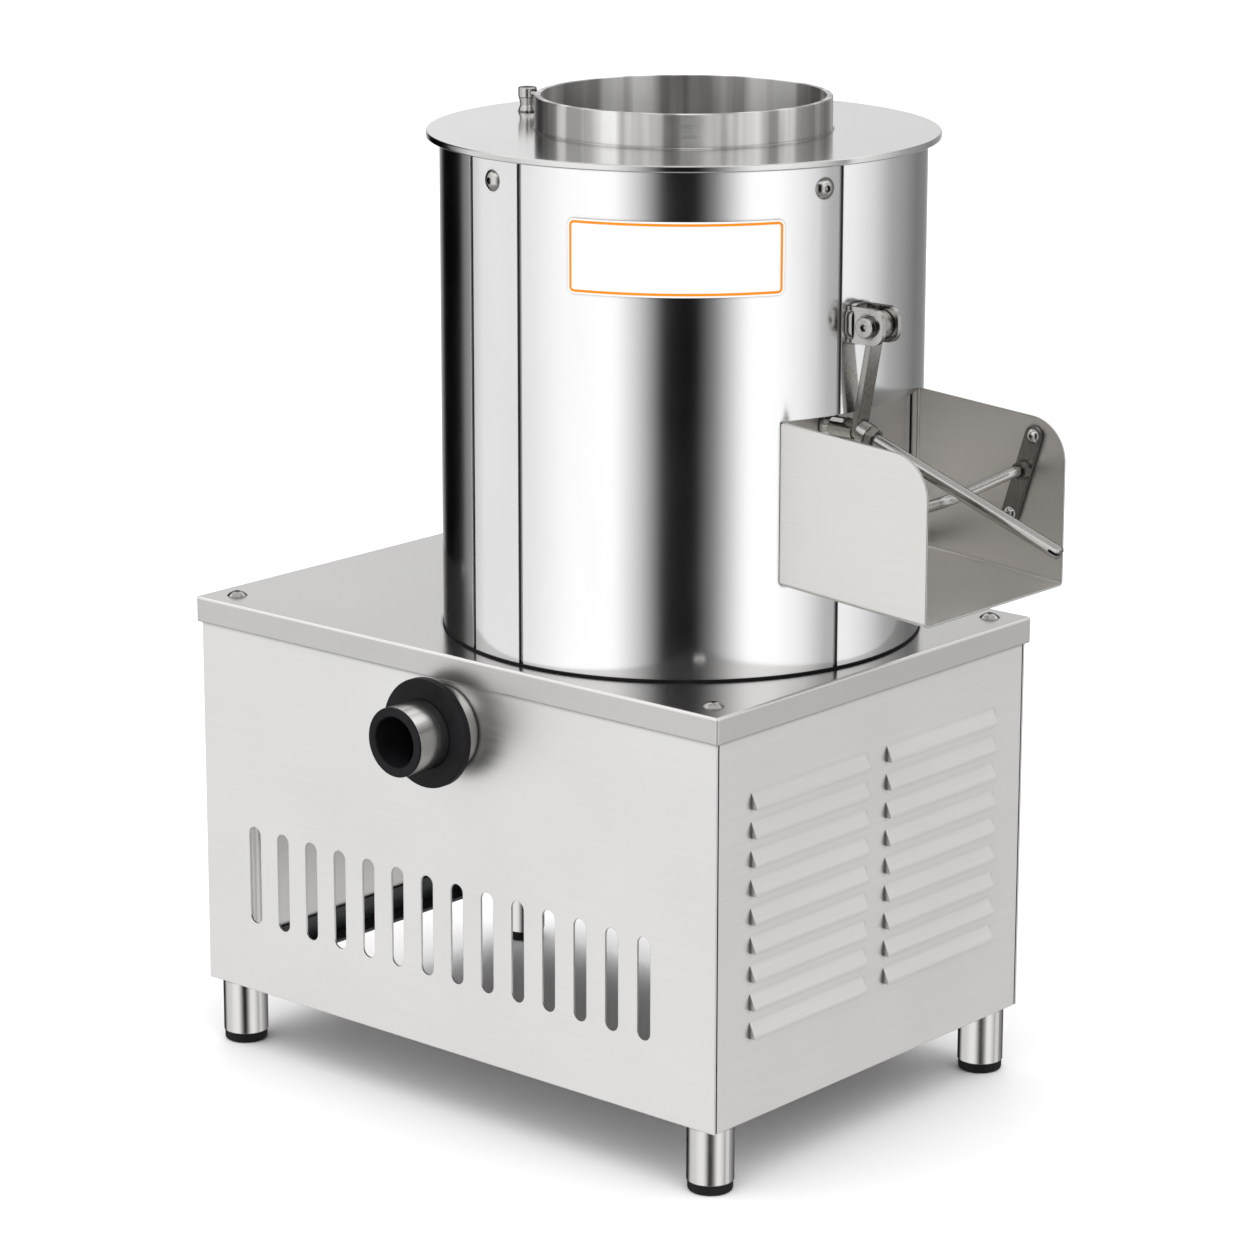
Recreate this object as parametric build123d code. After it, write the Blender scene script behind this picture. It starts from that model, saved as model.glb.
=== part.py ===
from build123d import *
from math import acos, atan2, degrees, hypot, radians, sqrt, tan
import os

os.makedirs("parts", exist_ok=True)

# An electric potato peeler: a sheet-steel cabinet on four legs holds a motor and a belt
# drive, and a drum on its deck holds a rough disc that turns under the potatoes.
# All sizes are in millimetres. X runs along the cabinet's front, Y to its back, Z up.
# The pieces are modelled about the cabinet's centre on the floor, and moved at the end.

# Common clearances
SEAT = 0.1  # between a round piece and the seat that carries it
SHAFT_FIT = 0.05  # radial, between a turning shaft and its bore
RUNNING_GAP = 0.5  # between pieces that move past each other

# Cabinet
CABINET_LENGTH = 626.0
CABINET_DEPTH = 444.0
CABINET_BOTTOM = 62.0
SHEET = 2.0
PANEL_FLANGE = 16.0
CORNER_SEAM = 1.6
DECK_TOP = 438.0
DECK_OVERHANG = 4.0
DECK_SKIRT = 24.0
DECK_EDGE_RADIUS = 2.5
FRAME_ANGLE = 25.0
FRAME_THICKNESS = 3.0

# Legs
LEG_RADIUS = 21.2
LEG_WALL = 1.5
LEG_PLUG = 16.0
FOOT_INSET = 0.85
FOOT_HEIGHT = 10.0
FOOT_EDGE = 3.0
FOOT_SPIGOT = 20.0

# Ventilation of the motor space
VENT_COUNT = 14
VENT_PITCH = 37.0
VENT_WIDTH = 15.0
VENT_HEIGHT = 95.0
VENT_CENTRE_X = -8.0
VENT_RAISE = 115.0
LOUVRE_ROWS = 9
LOUVRE_COLUMNS = 2
LOUVRE_WIDTH = 160.0
LOUVRE_HEIGHT = 15.0
LOUVRE_DEPTH = 6.0
LOUVRE_LIP = 3.0
LOUVRE_SHEET = 1.2
LOUVRE_ROW_PITCH = 26.0
LOUVRE_COLUMN_PITCH = 190.0

# Screws with a low domed head and a hexagon socket
SCREW_HEAD_RADIUS = 9.5
SCREW_HEAD_HEIGHT = 4.5
SCREW_RADIUS = 4.0
SCREW_LENGTH = 7.5
SCREW_SOCKET = 6.0
SCREW_SOCKET_DEPTH = 2.5

# Drum
DRUM_X = 80.0
DRUM_RADIUS = 218.0
DRUM_HEIGHT = 447.0
JACKET_SHEET = 2.0
WALL_GAP = 8.0
CHAMBER_WALL = 3.0
LINER_THICKNESS = 3.0
GASKET_HEIGHT = 2.0
GASKET_PROUD = 0.5
STRIP_START = -107.5
FRONT_SEAM = -90.2
SIDE_SEAM = -11.7
SEAM_WIDTH = 5.0
BATTEN_MARGIN = 13.0
JACKET_SCREW_DROP = 20.0
STRIP_SCREW_ANGLE = -99.0
SIDE_SCREW_ANGLE = -16.4

# Feed opening in the drum's cover
COVER_OVERHANG = 12.0
COVER_THICKNESS = 6.0
COVER_EDGE = 1.5
COLLAR_BORE = 127.5
COLLAR_WALL = 5.5
COLLAR_HEIGHT = 36.0
COLLAR_WELD = 1.2

# Turn latch on the cover, for a lid over the feed opening
LATCH_CLEAR = 43.0
LATCH_ANGLE = -175.7
LATCH_POST_RADIUS = 8.0
LATCH_POST_NECK = 6.6
LATCH_POST_HEIGHT = 13.0
LATCH_CAP_RADIUS = 8.5
LATCH_CAP_HEIGHT = 6.0
LATCH_TONGUE = 17.0
LATCH_TONGUE_WIDTH = 9.0
LATCH_TONGUE_THICKNESS = 3.0
LATCH_PIN_RADIUS = 3.0
LATCH_SOCKET = 4.0

# Water inlet at the drum's back
INLET_DROP = 40.0
INLET_RADIUS = 10.5
INLET_BORE = 8.0
INLET_JET = 4.0
INLET_REACH = 36.0
INLET_RIB = 1.2
INLET_NUT = 30.0
INLET_NUT_THICKNESS = 7.0

# Outlet, gate and chute
OUTLET_HEIGHT = 145.0
OUTLET_MARGIN = 1.5
OUTLET_FRAME_SHEET = 2.0
GATE_WIDTH = 193.0
GATE_SILL_GAP = 8.5
GATE_HEAD_GAP = 3.0
GATE_INSET = 36.0
GATE_THICKNESS = 3.0
GATE_CORNER = 4.0
CHUTE_LENGTH = 134.5
CHUTE_MARGIN = 2.0
CHUTE_HEIGHT = 145.0
CHUTE_LIP_RISE = 71.5
CHUTE_SLOPE = 4.0
CHUTE_SHEET = 2.0
CHUTE_BEND = 4.0
CHUTE_FRONT_CORNER = 38.0
CHUTE_BACK_CORNER = 4.0

# Gate linkage, in a plane beside the drum's axis
LINK_PLANE = -23.0
PIN_REACH = 20.0
PIN_RISE = 79.0
PIN_RADIUS = 6.0
PIN_HEAD_RADIUS = 9.0
PIN_HEAD = 5.0
PIN_END = 3.0
EYE_RADIUS = 12.0
CHEEK_THICKNESS = 5.0
CHEEK_HEIGHT = 32.0
CHEEK_CORNER = 12.0
CHEEK_GAP = 0.5
BRACKET_BASE_WIDTH = 31.0
BRACKET_BASE_HEIGHT = 36.0
BRACKET_BASE_REACH = 4.0
WASHER_THICKNESS = 1.6
NUT_ACROSS_FLATS = 18.0
NUT_THICKNESS = 7.0
ARM_WIDTH = 16.0
ARM_THICKNESS = 6.0
KNUCKLE_REACH = 2.0
KNUCKLE_DROP = 95.0
BOSS_FLANGE_RADIUS = 12.5
BOSS_FLANGE = 4.0
BOSS_RADIUS = 9.0
HANDLE_RADIUS = 6.0
HANDLE_LENGTH = 228.0
HANDLE_DROP = 19.5
HANDLE_COLLAR_RADIUS = 10.5
HANDLE_COLLAR = 9.0
HANDLE_SLOT_WIDTH = 2.5
HANDLE_SLOT_DEPTH = 9.0
HANDLE_TIP_EDGE = 1.5
STUD_ROOT_RADIUS = 5.0
STUD_ROOT_LENGTH = 16.0

# Stop bar across the chute and the straps that hold it
STRAP_TOP_INSET = 31.5
STRAP_TOP_RISE = 130.5
STRAP_LOW_INSET = 54.5
STRAP_LOW_RISE = 57.5
STRAP_WIDTH = 17.0
STRAP_THICKNESS = 4.0
STRAP_BOSS_INSET = 39.5
STRAP_BOSS_RISE = 99.5
STRAP_BOSS_RADIUS = 7.5
STRAP_BOSS_LENGTH = 9.0
STOP_BAR_RADIUS = 5.0
STOP_BAR_INSET = 72.5
STOP_BAR_RISE = 77.5
STOP_BAR_STRAIGHT = 60.0
STOP_BAR_LEAD = 10.0
STOP_BAR_BEND = 45.0
STUD_HEAD_RADIUS = 6.5
STUD_HEAD_HEIGHT = 3.5
STUD_RADIUS = 3.0
STUD_SOCKET = 3.5
STUD_SINK = 1.5

# Peeling disc
DISC_GAP = 4.0
DISC_RAISE = 56.0
DISC_PLATE = 12.0
GRIT_THICKNESS = 4.0
RIDGE_COUNT = 3
RIDGE_RADIUS = 70.0
RIDGE_RISE = 12.0
RIDGE_INNER = 45.0
RIDGE_MARGIN = 20.0
HUB_DROP = 28.0
SLINGER_WALL = 5.0
SLINGER_GAP = 3.0
SLINGER_DROP = 16.0
PADDLE_COUNT = 4
PADDLE_THICKNESS = 6.0
PADDLE_MARGIN = 8.0
PADDLE_DEPTH = 40.0
CAP_NUT_RADIUS = 26.0
CAP_NUT_HEIGHT = 18.0
THREAD_RADIUS = 10.0
THREAD_LENGTH = 12.0

# Main shaft and its bearings
SHAFT_RADIUS = 15.0
SHAFT_COLLAR = 4.0
CHAMBER_FLOOR = 3.0
UPSTAND_WALL = 4.5
UPSTAND_HEIGHT = 20.0
BEARING_RADIUS = 31.0
BEARING_WIDTH = 16.0
BEARING_GROOVE = 0.8
BEARING_RING = 5.0
BEARING_RECESS = 4.0
BEARING_SHOULDER = 7.0
HOUSING_WALL = 10.0
HOUSING_FLANGE = 12.0
HOUSING_LENGTH = 174.0
HOUSING_RIBS = 4
HOUSING_RIB_HEIGHT = 106.0
HOUSING_RIB_THICKNESS = 8.0
SEAL_MARGIN = 2.0
SEAL_HEIGHT = 7.0
HOUSING_BOLTS = 4
HOUSING_BOLT_MARGIN = 12.0
HOUSING_BOLT_TURN = 45.0
BOLT_RADIUS = 4.0
BOLT_HEAD = 13.0
BOLT_HEAD_HEIGHT = 5.5
BOLT_GRIP = 12.0

# Belt drive
BELT_DROP = 48.0
DRIVEN_RADIUS = 100.0
DRIVE_RADIUS = 35.0
PULLEY_WIDTH = 24.0
PULLEY_RIM = 14.0
PULLEY_WEB = 8.0
PULLEY_HUB_WALL = 12.0
PULLEY_HOLES = 4
PULLEY_HOLE_RADIUS = 15.0
BELT_WIDTH = 13.0
BELT_THICKNESS = 8.0
BELT_SLANT = 20.0
BELT_DEPTH = 1.0
BELT_GAP = 0.5
SHAFT_END = 8.0

# Motor
MOTOR_X = -190.0
MOTOR_RADIUS = 62.0
MOTOR_FINS = 20
MOTOR_FIN_HEIGHT = 8.0
MOTOR_FIN_THICKNESS = 2.5
MOTOR_RAISE = 34.0
MOTOR_LENGTH = 165.0
MOTOR_END_HEIGHT = 22.0
MOTOR_SHAFT_RADIUS = 9.5
MOTOR_SHAFT_DEPTH = 60.0
FAN_COVER_HEIGHT = 34.0
FAN_COVER_HOLES = 8
FAN_COVER_HOLE_RADIUS = 6.0
TERMINAL_BOX_WIDTH = 62.0
TERMINAL_BOX_HEIGHT = 58.0
TERMINAL_BOX_DEPTH = 30.0
TERMINAL_BOX_RAISE = 82.0
MOTOR_FOOT_WIDTH = 96.0
MOTOR_FOOT_HEIGHT = 24.0
MOTOR_FOOT_DEPTH = 10.0
MOTOR_FOOT_RAISE = 52.0
MOTOR_FOOT_SPREAD = 58.0
MOUNT_PLATE = 5.0
MOUNT_WIDTH = 120.0
MOUNT_RAISE = 22.0
MOUNT_FLANGE = 45.0
MOUNT_BOLT_SPREAD = 74.0
MOUNT_SLOT = 16.0

# Drain
DRAIN_DROP = 66.0
DRAIN_INLET_Y = -70.0
DRAIN_PIPE_RADIUS = 31.75
DRAIN_PIPE_WALL = 1.6
DRAIN_BEND = 50.0
DRAIN_REACH = 68.0
DRAIN_LINER_BORE = 23.0
DRAIN_LINER_LENGTH = 90.0
DRAIN_LIP = 2.0
DRAIN_SOCKET_WALL = 7.15
DRAIN_SOCKET_LENGTH = 21.0
DRAIN_FLANGE_RIM = 11.0
DRAIN_FLANGE = 9.0
DRAIN_FLANGE_EDGE = 1.5

# Switches in the left panel and the supply gland in the back panel
BUTTON_Y = -120.0
START_DROP = 86.0
BUTTON_PITCH = 50.0
BUTTON_RADIUS = 9.5
BUTTON_PROUD = 5.0
BUTTON_GAP = 0.3
BUTTON_EDGE = 1.5
BUTTON_TRAVEL = 4.0
BUTTON_DEPTH = 14.0
BEZEL_RIM = 5.2
BEZEL_PROUD = 3.0
BEZEL_WALL = 1.4
BUTTON_SPRING = 6.0
SWITCH_BOX_WIDTH = 60.0
SWITCH_BOX_HEIGHT = 115.0
SWITCH_BOX_DEPTH = 44.0
SWITCH_BOX_WALL = 3.0
SWITCH_BOX_CORNER = 5.0
GLAND_X = -230.0
GLAND_RAISE = 48.0
GLAND_RADIUS = 10.0
GLAND_FLATS = 24.0
GLAND_BODY = 6.0
GLAND_DOME = 14.0
GLAND_BORE = 5.0
GLAND_INSIDE = 9.0

# Places that follow from the sizes above: the cabinet
PANEL_TOP = DECK_TOP - SHEET
PANEL_HEIGHT = PANEL_TOP - CABINET_BOTTOM
HALF_LENGTH = CABINET_LENGTH / 2
HALF_DEPTH = CABINET_DEPTH / 2
LEG_X = HALF_LENGTH - SHEET - SEAT - LEG_RADIUS
LEG_Y = HALF_DEPTH - SHEET - SEAT - LEG_RADIUS
DRAIN_Z = PANEL_TOP - DRAIN_DROP
DRAIN_END = -HALF_DEPTH - DRAIN_REACH
START_Z = PANEL_TOP - START_DROP
STOP_Z = START_Z - BUTTON_PITCH
BUTTON_BORE = BUTTON_RADIUS + BUTTON_GAP
BEZEL_BARREL = BUTTON_BORE + BEZEL_WALL
BEZEL_DEPTH = BUTTON_DEPTH + BUTTON_TRAVEL + BUTTON_SPRING

# The drum
DRUM_Y = HALF_DEPTH + DECK_OVERHANG - DRUM_RADIUS
DRUM_TOP = DECK_TOP + DRUM_HEIGHT
COVER_TOP = DRUM_TOP + COVER_THICKNESS
JACKET_INNER = DRUM_RADIUS - JACKET_SHEET
CHAMBER_RADIUS = JACKET_INNER - WALL_GAP
CHAMBER_BORE = CHAMBER_RADIUS - CHAMBER_WALL
FLOOR_TOP = DECK_TOP + CHAMBER_FLOOR
COVER_RADIUS = DRUM_RADIUS + COVER_OVERHANG
COLLAR_RADIUS = COLLAR_BORE + COLLAR_WALL
LATCH_DISTANCE = COLLAR_RADIUS + LATCH_CLEAR
JACKET_SCREW_Z = DRUM_TOP - JACKET_SCREW_DROP

# The outlet, the chute and the gate, from the drum's axis
CHUTE_REACH = DRUM_RADIUS + CHUTE_LENGTH
CHUTE_LIP_Z = DECK_TOP + CHUTE_LIP_RISE
CHUTE_FALL = tan(radians(CHUTE_SLOPE))
OUTLET_SILL = CHUTE_LIP_Z + CHUTE_SHEET + CHUTE_LENGTH * CHUTE_FALL
OUTLET_HEAD = OUTLET_SILL + OUTLET_HEIGHT
OUTLET_WIDTH = GATE_WIDTH + 2 * OUTLET_MARGIN
CHUTE_WIDTH = OUTLET_WIDTH + 2 * CHUTE_MARGIN
GATE_BOTTOM = OUTLET_SILL + GATE_SILL_GAP
GATE_TOP = OUTLET_HEAD - GATE_HEAD_GAP
GATE_PLANE = DRUM_RADIUS - GATE_INSET
GATE_FACE = GATE_PLANE + GATE_THICKNESS
PIN_X = DRUM_RADIUS + PIN_REACH
PIN_Z = OUTLET_HEAD + PIN_RISE
CHEEK_INNER = ARM_WIDTH / 2 + CHEEK_GAP
CHEEK_OUTER = CHEEK_INNER + CHEEK_THICKNESS
BRACKET_BASE_X = DRUM_RADIUS + BRACKET_BASE_REACH
KNUCKLE_X = DRUM_RADIUS + KNUCKLE_REACH
KNUCKLE_Z = PIN_Z - KNUCKLE_DROP
ARM_LENGTH = hypot(PIN_X - KNUCKLE_X, KNUCKLE_DROP)
ARM_TILT = degrees(atan2(PIN_X - KNUCKLE_X, KNUCKLE_DROP))
STRAP_FACE = CHUTE_WIDTH / 2 - CHUTE_SHEET - STRAP_THICKNESS
STRAP_TOP = (CHUTE_REACH - STRAP_TOP_INSET, CHUTE_LIP_Z + STRAP_TOP_RISE)
STRAP_LOW = (CHUTE_REACH - STRAP_LOW_INSET, CHUTE_LIP_Z + STRAP_LOW_RISE)
STRAP_BOSS_X = CHUTE_REACH - STRAP_BOSS_INSET
STRAP_BOSS_Z = CHUTE_LIP_Z + STRAP_BOSS_RISE
STOP_BAR_X = CHUTE_REACH - STOP_BAR_INSET
STOP_BAR_Z = CHUTE_LIP_Z + STOP_BAR_RISE

# The disc, its shaft and its bearings
DISC_RADIUS = CHAMBER_BORE - LINER_THICKNESS - DISC_GAP
DISC_BOTTOM = DECK_TOP + DISC_RAISE
DISC_TOP = DISC_BOTTOM + DISC_PLATE
GRIT_TOP = DISC_TOP + GRIT_THICKNESS
RIDGE_OUTER = DISC_RADIUS - RIDGE_MARGIN
PADDLE_OUTER = DISC_RADIUS - PADDLE_MARGIN
SHAFT_COLLAR_RADIUS = SHAFT_RADIUS + SHAFT_COLLAR
UPSTAND_BORE = SHAFT_COLLAR_RADIUS + RUNNING_GAP
UPSTAND_RADIUS = UPSTAND_BORE + UPSTAND_WALL
SLINGER_BORE = UPSTAND_RADIUS + SLINGER_GAP
HUB_RADIUS = SLINGER_BORE + SLINGER_WALL
HUB_BOTTOM = DISC_BOTTOM - HUB_DROP
SLINGER_BOTTOM = HUB_BOTTOM - SLINGER_DROP
PADDLE_BOTTOM = DISC_BOTTOM - PADDLE_DEPTH
SEAL_RADIUS = BEARING_RADIUS + SEAL_MARGIN
HOUSING_RADIUS = BEARING_RADIUS + HOUSING_WALL
HOUSING_WAIST = BEARING_RADIUS - BEARING_SHOULDER
HOUSING_BOTTOM = PANEL_TOP - HOUSING_LENGTH
HOUSING_FLANGE_LOW = PANEL_TOP - HOUSING_FLANGE
HOUSING_BOLT_CIRCLE = HOUSING_RADIUS + HOUSING_BOLT_MARGIN
HOUSING_FLANGE_RADIUS = HOUSING_BOLT_CIRCLE + HOUSING_BOLT_MARGIN

# The belt, the motor and its mount
BELT_Z = HOUSING_BOTTOM - BELT_DROP
PULLEY_HUB_RADIUS = SHAFT_RADIUS + PULLEY_HUB_WALL
MOTOR_BOTTOM = BELT_Z + MOTOR_RAISE
MOTOR_TOP = MOTOR_BOTTOM + MOTOR_LENGTH
MOTOR_FIN_RADIUS = MOTOR_RADIUS + MOTOR_FIN_HEIGHT
MOTOR_SHELL_RADIUS = MOTOR_FIN_RADIUS - MOTOR_FIN_THICKNESS
MOTOR_FOOT_REACH = MOTOR_FIN_RADIUS + MOTOR_FOOT_DEPTH
MOTOR_FOOT_LOW = MOTOR_BOTTOM + MOTOR_FOOT_RAISE
MOTOR_FOOT_HIGH = MOTOR_FOOT_LOW + MOTOR_FOOT_SPREAD

UPRIGHT = (Align.CENTER, Align.CENTER, Align.MIN)
FACING = (Align.CENTER, Align.MIN, Align.MIN)
DRUM = Pos(DRUM_X, DRUM_Y, 0)
MOTOR = Pos(MOTOR_X, DRUM_Y, 0)
LINK = DRUM * Pos(0, LINK_PLANE, 0)


# Shapes that several pieces share


def rod(radius, bottom, top):
    """An upright cylinder on the Z axis."""
    return Pos(0, 0, bottom) * Cylinder(radius, top - bottom, align=UPRIGHT)


def tube(outer, inner, bottom, top):
    """An upright tube on the Z axis."""
    return rod(outer, bottom, top) - rod(inner, bottom, top)


def block(low, high):
    """A box between two corners."""
    size = [high[i] - low[i] for i in range(3)]
    return Pos(*low) * Box(*size, align=Align.MIN)


def turned(points):
    """A solid of revolution about Z from (radius, height) points."""
    outline = Polyline(*[(radius, 0, height) for radius, height in points], close=True)
    return revolve(make_face(outline), Axis.Z)


def hexagon(across_flats, bottom, top):
    """An upright hexagonal prism on the Z axis."""
    outline = RegularPolygon(across_flats / 2, 6, major_radius=False)
    return Pos(0, 0, bottom) * extrude(outline, top - bottom)


def group(shape, places):
    """Equal solids at several places, kept in one node."""
    return Compound([place * shape for place in places])


def around(count, start=0.0):
    """Evenly spaced turns about Z."""
    return [Rot(0, 0, start + 360 * i / count) for i in range(count)]


def curved_wall(outer, inner, start, end, bottom, top):
    """The part of an upright tube between two angles, in degrees from X."""
    outside = CenterArc((0, 0), outer, start, end - start)
    inside = CenterArc((0, 0), inner, start, end - start)
    first = Line(outside @ 0, inside @ 0)
    last = Line(outside @ 1, inside @ 1)
    face = make_face([outside, inside, first, last])
    return Pos(0, 0, bottom) * extrude(face, top - bottom, dir=(0, 0, 1))


def outward(angle, radius, height):
    """A place on the drum whose Z axis points straight out of it."""
    return Rot(0, 0, angle) * Pos(radius, 0, height) * Rot(0, 90, 0)


def domed_screw(head_radius, head_height, radius, length, socket, socket_depth):
    """A low domed screw with its head's underside at Z = 0."""
    sphere = (head_radius**2 + head_height**2) / (2 * head_height)
    head = rod(head_radius, 0, head_height)
    head &= Pos(0, 0, head_height - sphere) * Sphere(sphere)
    head -= hexagon(socket, head_height - socket_depth, head_height)
    return head + rod(radius, -length, 0)


def button_screw():
    """The screw used on the deck and the drum's jacket."""
    return domed_screw(
        SCREW_HEAD_RADIUS,
        SCREW_HEAD_HEIGHT,
        SCREW_RADIUS,
        SCREW_LENGTH,
        SCREW_SOCKET,
        SCREW_SOCKET_DEPTH,
    )


def hex_bolt(length):
    """A hexagon-head bolt with its head's underside at Z = 0."""
    return hexagon(BOLT_HEAD, 0, BOLT_HEAD_HEIGHT) + rod(BOLT_RADIUS, -length, 0)


# Cabinet


def leg_places():
    """The four corners where the legs stand."""
    return [Pos(x, y, 0) for x in (-LEG_X, LEG_X) for y in (-LEG_Y, LEG_Y)]


def legs():
    """Tubes that run up inside the cabinet's corners and carry the deck."""
    leg = tube(LEG_RADIUS, LEG_RADIUS - LEG_WALL, FOOT_HEIGHT, PANEL_TOP)
    plug = rod(LEG_RADIUS - LEG_WALL, PANEL_TOP - LEG_PLUG, PANEL_TOP)
    leg += plug - rod(SCREW_RADIUS + SEAT, PANEL_TOP - LEG_PLUG, PANEL_TOP)
    return group(leg, leg_places())


def feet():
    """Rubber feet with a hollow spigot that plugs into each leg."""
    pad = rod(LEG_RADIUS - FOOT_INSET, 0, FOOT_HEIGHT)
    pad = fillet(pad.edges().group_by(Axis.Z)[0], FOOT_EDGE)
    spigot_top = FOOT_HEIGHT + FOOT_SPIGOT
    spigot_radius = LEG_RADIUS - LEG_WALL - SEAT
    spigot = tube(spigot_radius, spigot_radius / 2, FOOT_HEIGHT, spigot_top)
    return group(pad + spigot, leg_places())


def panel(length, flange_length):
    """A plate that faces -Y, with a return flange along its top and bottom edges."""
    plate = Box(length, SHEET, PANEL_HEIGHT, align=FACING)
    flange = Box(flange_length, PANEL_FLANGE, SHEET, align=FACING)
    return plate + flange + Pos(0, 0, PANEL_HEIGHT - SHEET) * flange


def long_panel():
    """The front and back panels reach over the full length of the cabinet."""
    return panel(CABINET_LENGTH, 2 * (LEG_X - LEG_RADIUS - SEAT))


def side_panel():
    """The side panels stand between the front and back ones."""
    return panel(CABINET_DEPTH - 2 * (SHEET + CORNER_SEAM), 2 * (LEG_Y - LEG_RADIUS - SEAT))


def on_side(angle, distance):
    """The place of a panel that is modelled facing -Y."""
    return Rot(0, 0, angle) * Pos(0, -distance, CABINET_BOTTOM)


def front_panel():
    """Front panel with a row of ventilation slots and the drain's hole."""
    front = on_side(0, HALF_DEPTH) * long_panel()
    slot = Rot(90, 0, 0) * extrude(SlotOverall(VENT_HEIGHT, VENT_WIDTH, rotation=90), SHEET, both=True)
    for i in range(VENT_COUNT):
        x = VENT_CENTRE_X + (i - (VENT_COUNT - 1) / 2) * VENT_PITCH
        front -= Pos(x, -HALF_DEPTH, CABINET_BOTTOM + VENT_RAISE) * slot
    hole = Rot(90, 0, 0) * rod(DRAIN_PIPE_RADIUS + RUNNING_GAP, HALF_DEPTH - SHEET, HALF_DEPTH)
    return front - Pos(0, 0, DRAIN_Z) * hole


def louvre():
    """A pressed hood, open at its lower edge, on a plate that faces -Y."""
    skin = LOUVRE_SHEET
    outer = Polyline((0, 0), (-LOUVRE_DEPTH, 0), (-LOUVRE_DEPTH, LOUVRE_LIP), (0, LOUVRE_HEIGHT), close=True)
    inner = Polyline(
        (SHEET, 0),
        (skin - LOUVRE_DEPTH, 0),
        (skin - LOUVRE_DEPTH, LOUVRE_LIP),
        (0, LOUVRE_HEIGHT - 2 * skin),
        (SHEET, LOUVRE_HEIGHT - 2 * skin),
        close=True,
    )
    hood = extrude(Plane.YZ * make_face(outer), LOUVRE_WIDTH / 2, both=True)
    hollow = extrude(Plane.YZ * make_face(inner), LOUVRE_WIDTH / 2 - skin, both=True)
    return hood, hollow


def louvre_places():
    """Rows and columns of louvres on the right panel, before it is turned to its side."""
    places = []
    for row in range(LOUVRE_ROWS):
        for column in range(LOUVRE_COLUMNS):
            x = (column - (LOUVRE_COLUMNS - 1) / 2) * LOUVRE_COLUMN_PITCH
            z = PANEL_HEIGHT / 2 + (row - (LOUVRE_ROWS - 1) / 2) * LOUVRE_ROW_PITCH
            places.append(Pos(x, 0, z - LOUVRE_HEIGHT / 2))
    return places


def right_panel():
    """Right panel with pressed louvres."""
    side = side_panel()
    hood, hollow = louvre()
    for place in louvre_places():
        side = side + place * hood - place * hollow
    return on_side(90, HALF_LENGTH) * side


def left_panel():
    """Left panel with holes for the two switches."""
    side = on_side(-90, HALF_LENGTH) * side_panel()
    for height in (START_Z, STOP_Z):
        side -= button_place(height) * rod(BEZEL_BARREL + SEAT, -SHEET, 0)
    return side


def back_panel():
    """Back panel with the supply gland's hole."""
    back = on_side(180, HALF_DEPTH) * long_panel()
    return back - gland_place() * rod(GLAND_RADIUS + SEAT, -SHEET, 0)


def base_frame():
    """Angle rails that stand on the panels' lower flanges and join the legs."""
    low = CABINET_BOTTOM + SHEET
    profile = block((0, 0, 0), (1, FRAME_ANGLE, FRAME_ANGLE))
    profile -= block((0, FRAME_THICKNESS, FRAME_THICKNESS), (1, FRAME_ANGLE, FRAME_ANGLE))
    section = profile.faces().sort_by(Axis.X)[0]
    rails = []
    for angle, distance, half in (
        (0, HALF_DEPTH, LEG_X),
        (90, HALF_LENGTH, LEG_Y),
        (180, HALF_DEPTH, LEG_X),
        (270, HALF_LENGTH, LEG_Y),
    ):
        reach = half - LEG_RADIUS - SEAT
        rail = Pos(-reach, SHEET - distance, low) * extrude(section, 2 * reach, dir=(1, 0, 0))
        rails.append(Rot(0, 0, angle) * rail)
    return Compound(rails)


def deck():
    """The cabinet's lid: a plate with turned-down edges, bored for the drive and the drain."""
    length = CABINET_LENGTH + 2 * DECK_OVERHANG
    depth = CABINET_DEPTH + 2 * DECK_OVERHANG
    low = DECK_TOP - DECK_SKIRT
    plate = Pos(0, 0, low) * Box(length, depth, DECK_SKIRT, align=UPRIGHT)
    plate = fillet(plate.edges().filter_by(Axis.Z), DECK_EDGE_RADIUS)
    plate = fillet(plate.edges().group_by(Axis.Z)[-1], DECK_EDGE_RADIUS - RUNNING_GAP)
    plate -= Pos(0, 0, low) * Box(length - 2 * SHEET, depth - 2 * SHEET, DECK_SKIRT - SHEET, align=UPRIGHT)
    plate -= DRUM * rod(SEAL_RADIUS + 2 * SEAT, PANEL_TOP, DECK_TOP)
    plate -= Pos(0, DRAIN_INLET_Y, 0) * rod(DRAIN_PIPE_RADIUS + SEAT, PANEL_TOP, DECK_TOP)
    for place in leg_places():
        plate -= place * rod(SCREW_RADIUS + SEAT, PANEL_TOP, DECK_TOP)
    return plate


# Drum


def outlet_cut():
    """What the outlet takes out of every wall of the drum."""
    half = OUTLET_WIDTH / 2
    return block((CHAMBER_BORE / 2, -half, OUTLET_SILL), (COVER_RADIUS, half, OUTLET_HEAD))


def inlet_place():
    """The water inlet's axis, pointing out of the drum's back."""
    return outward(90, 0, DRUM_TOP - INLET_DROP)


def wall_cuts(wall):
    """A wall of the drum with its outlet and its water inlet."""
    return wall - outlet_cut() - inlet_place() * rod(INLET_RADIUS + SEAT, 0, DRUM_RADIUS)


def chamber_wall():
    """The drum's inner wall, which stands on the deck."""
    return DRUM * wall_cuts(tube(CHAMBER_RADIUS, CHAMBER_BORE, DECK_TOP, DRUM_TOP))


def wall_liner():
    """The rough lining that peels the potatoes at the wall."""
    outer = CHAMBER_BORE - SEAT
    return DRUM * wall_cuts(tube(outer, outer - LINER_THICKNESS, FLOOR_TOP, DRUM_TOP - SEAT))


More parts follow.
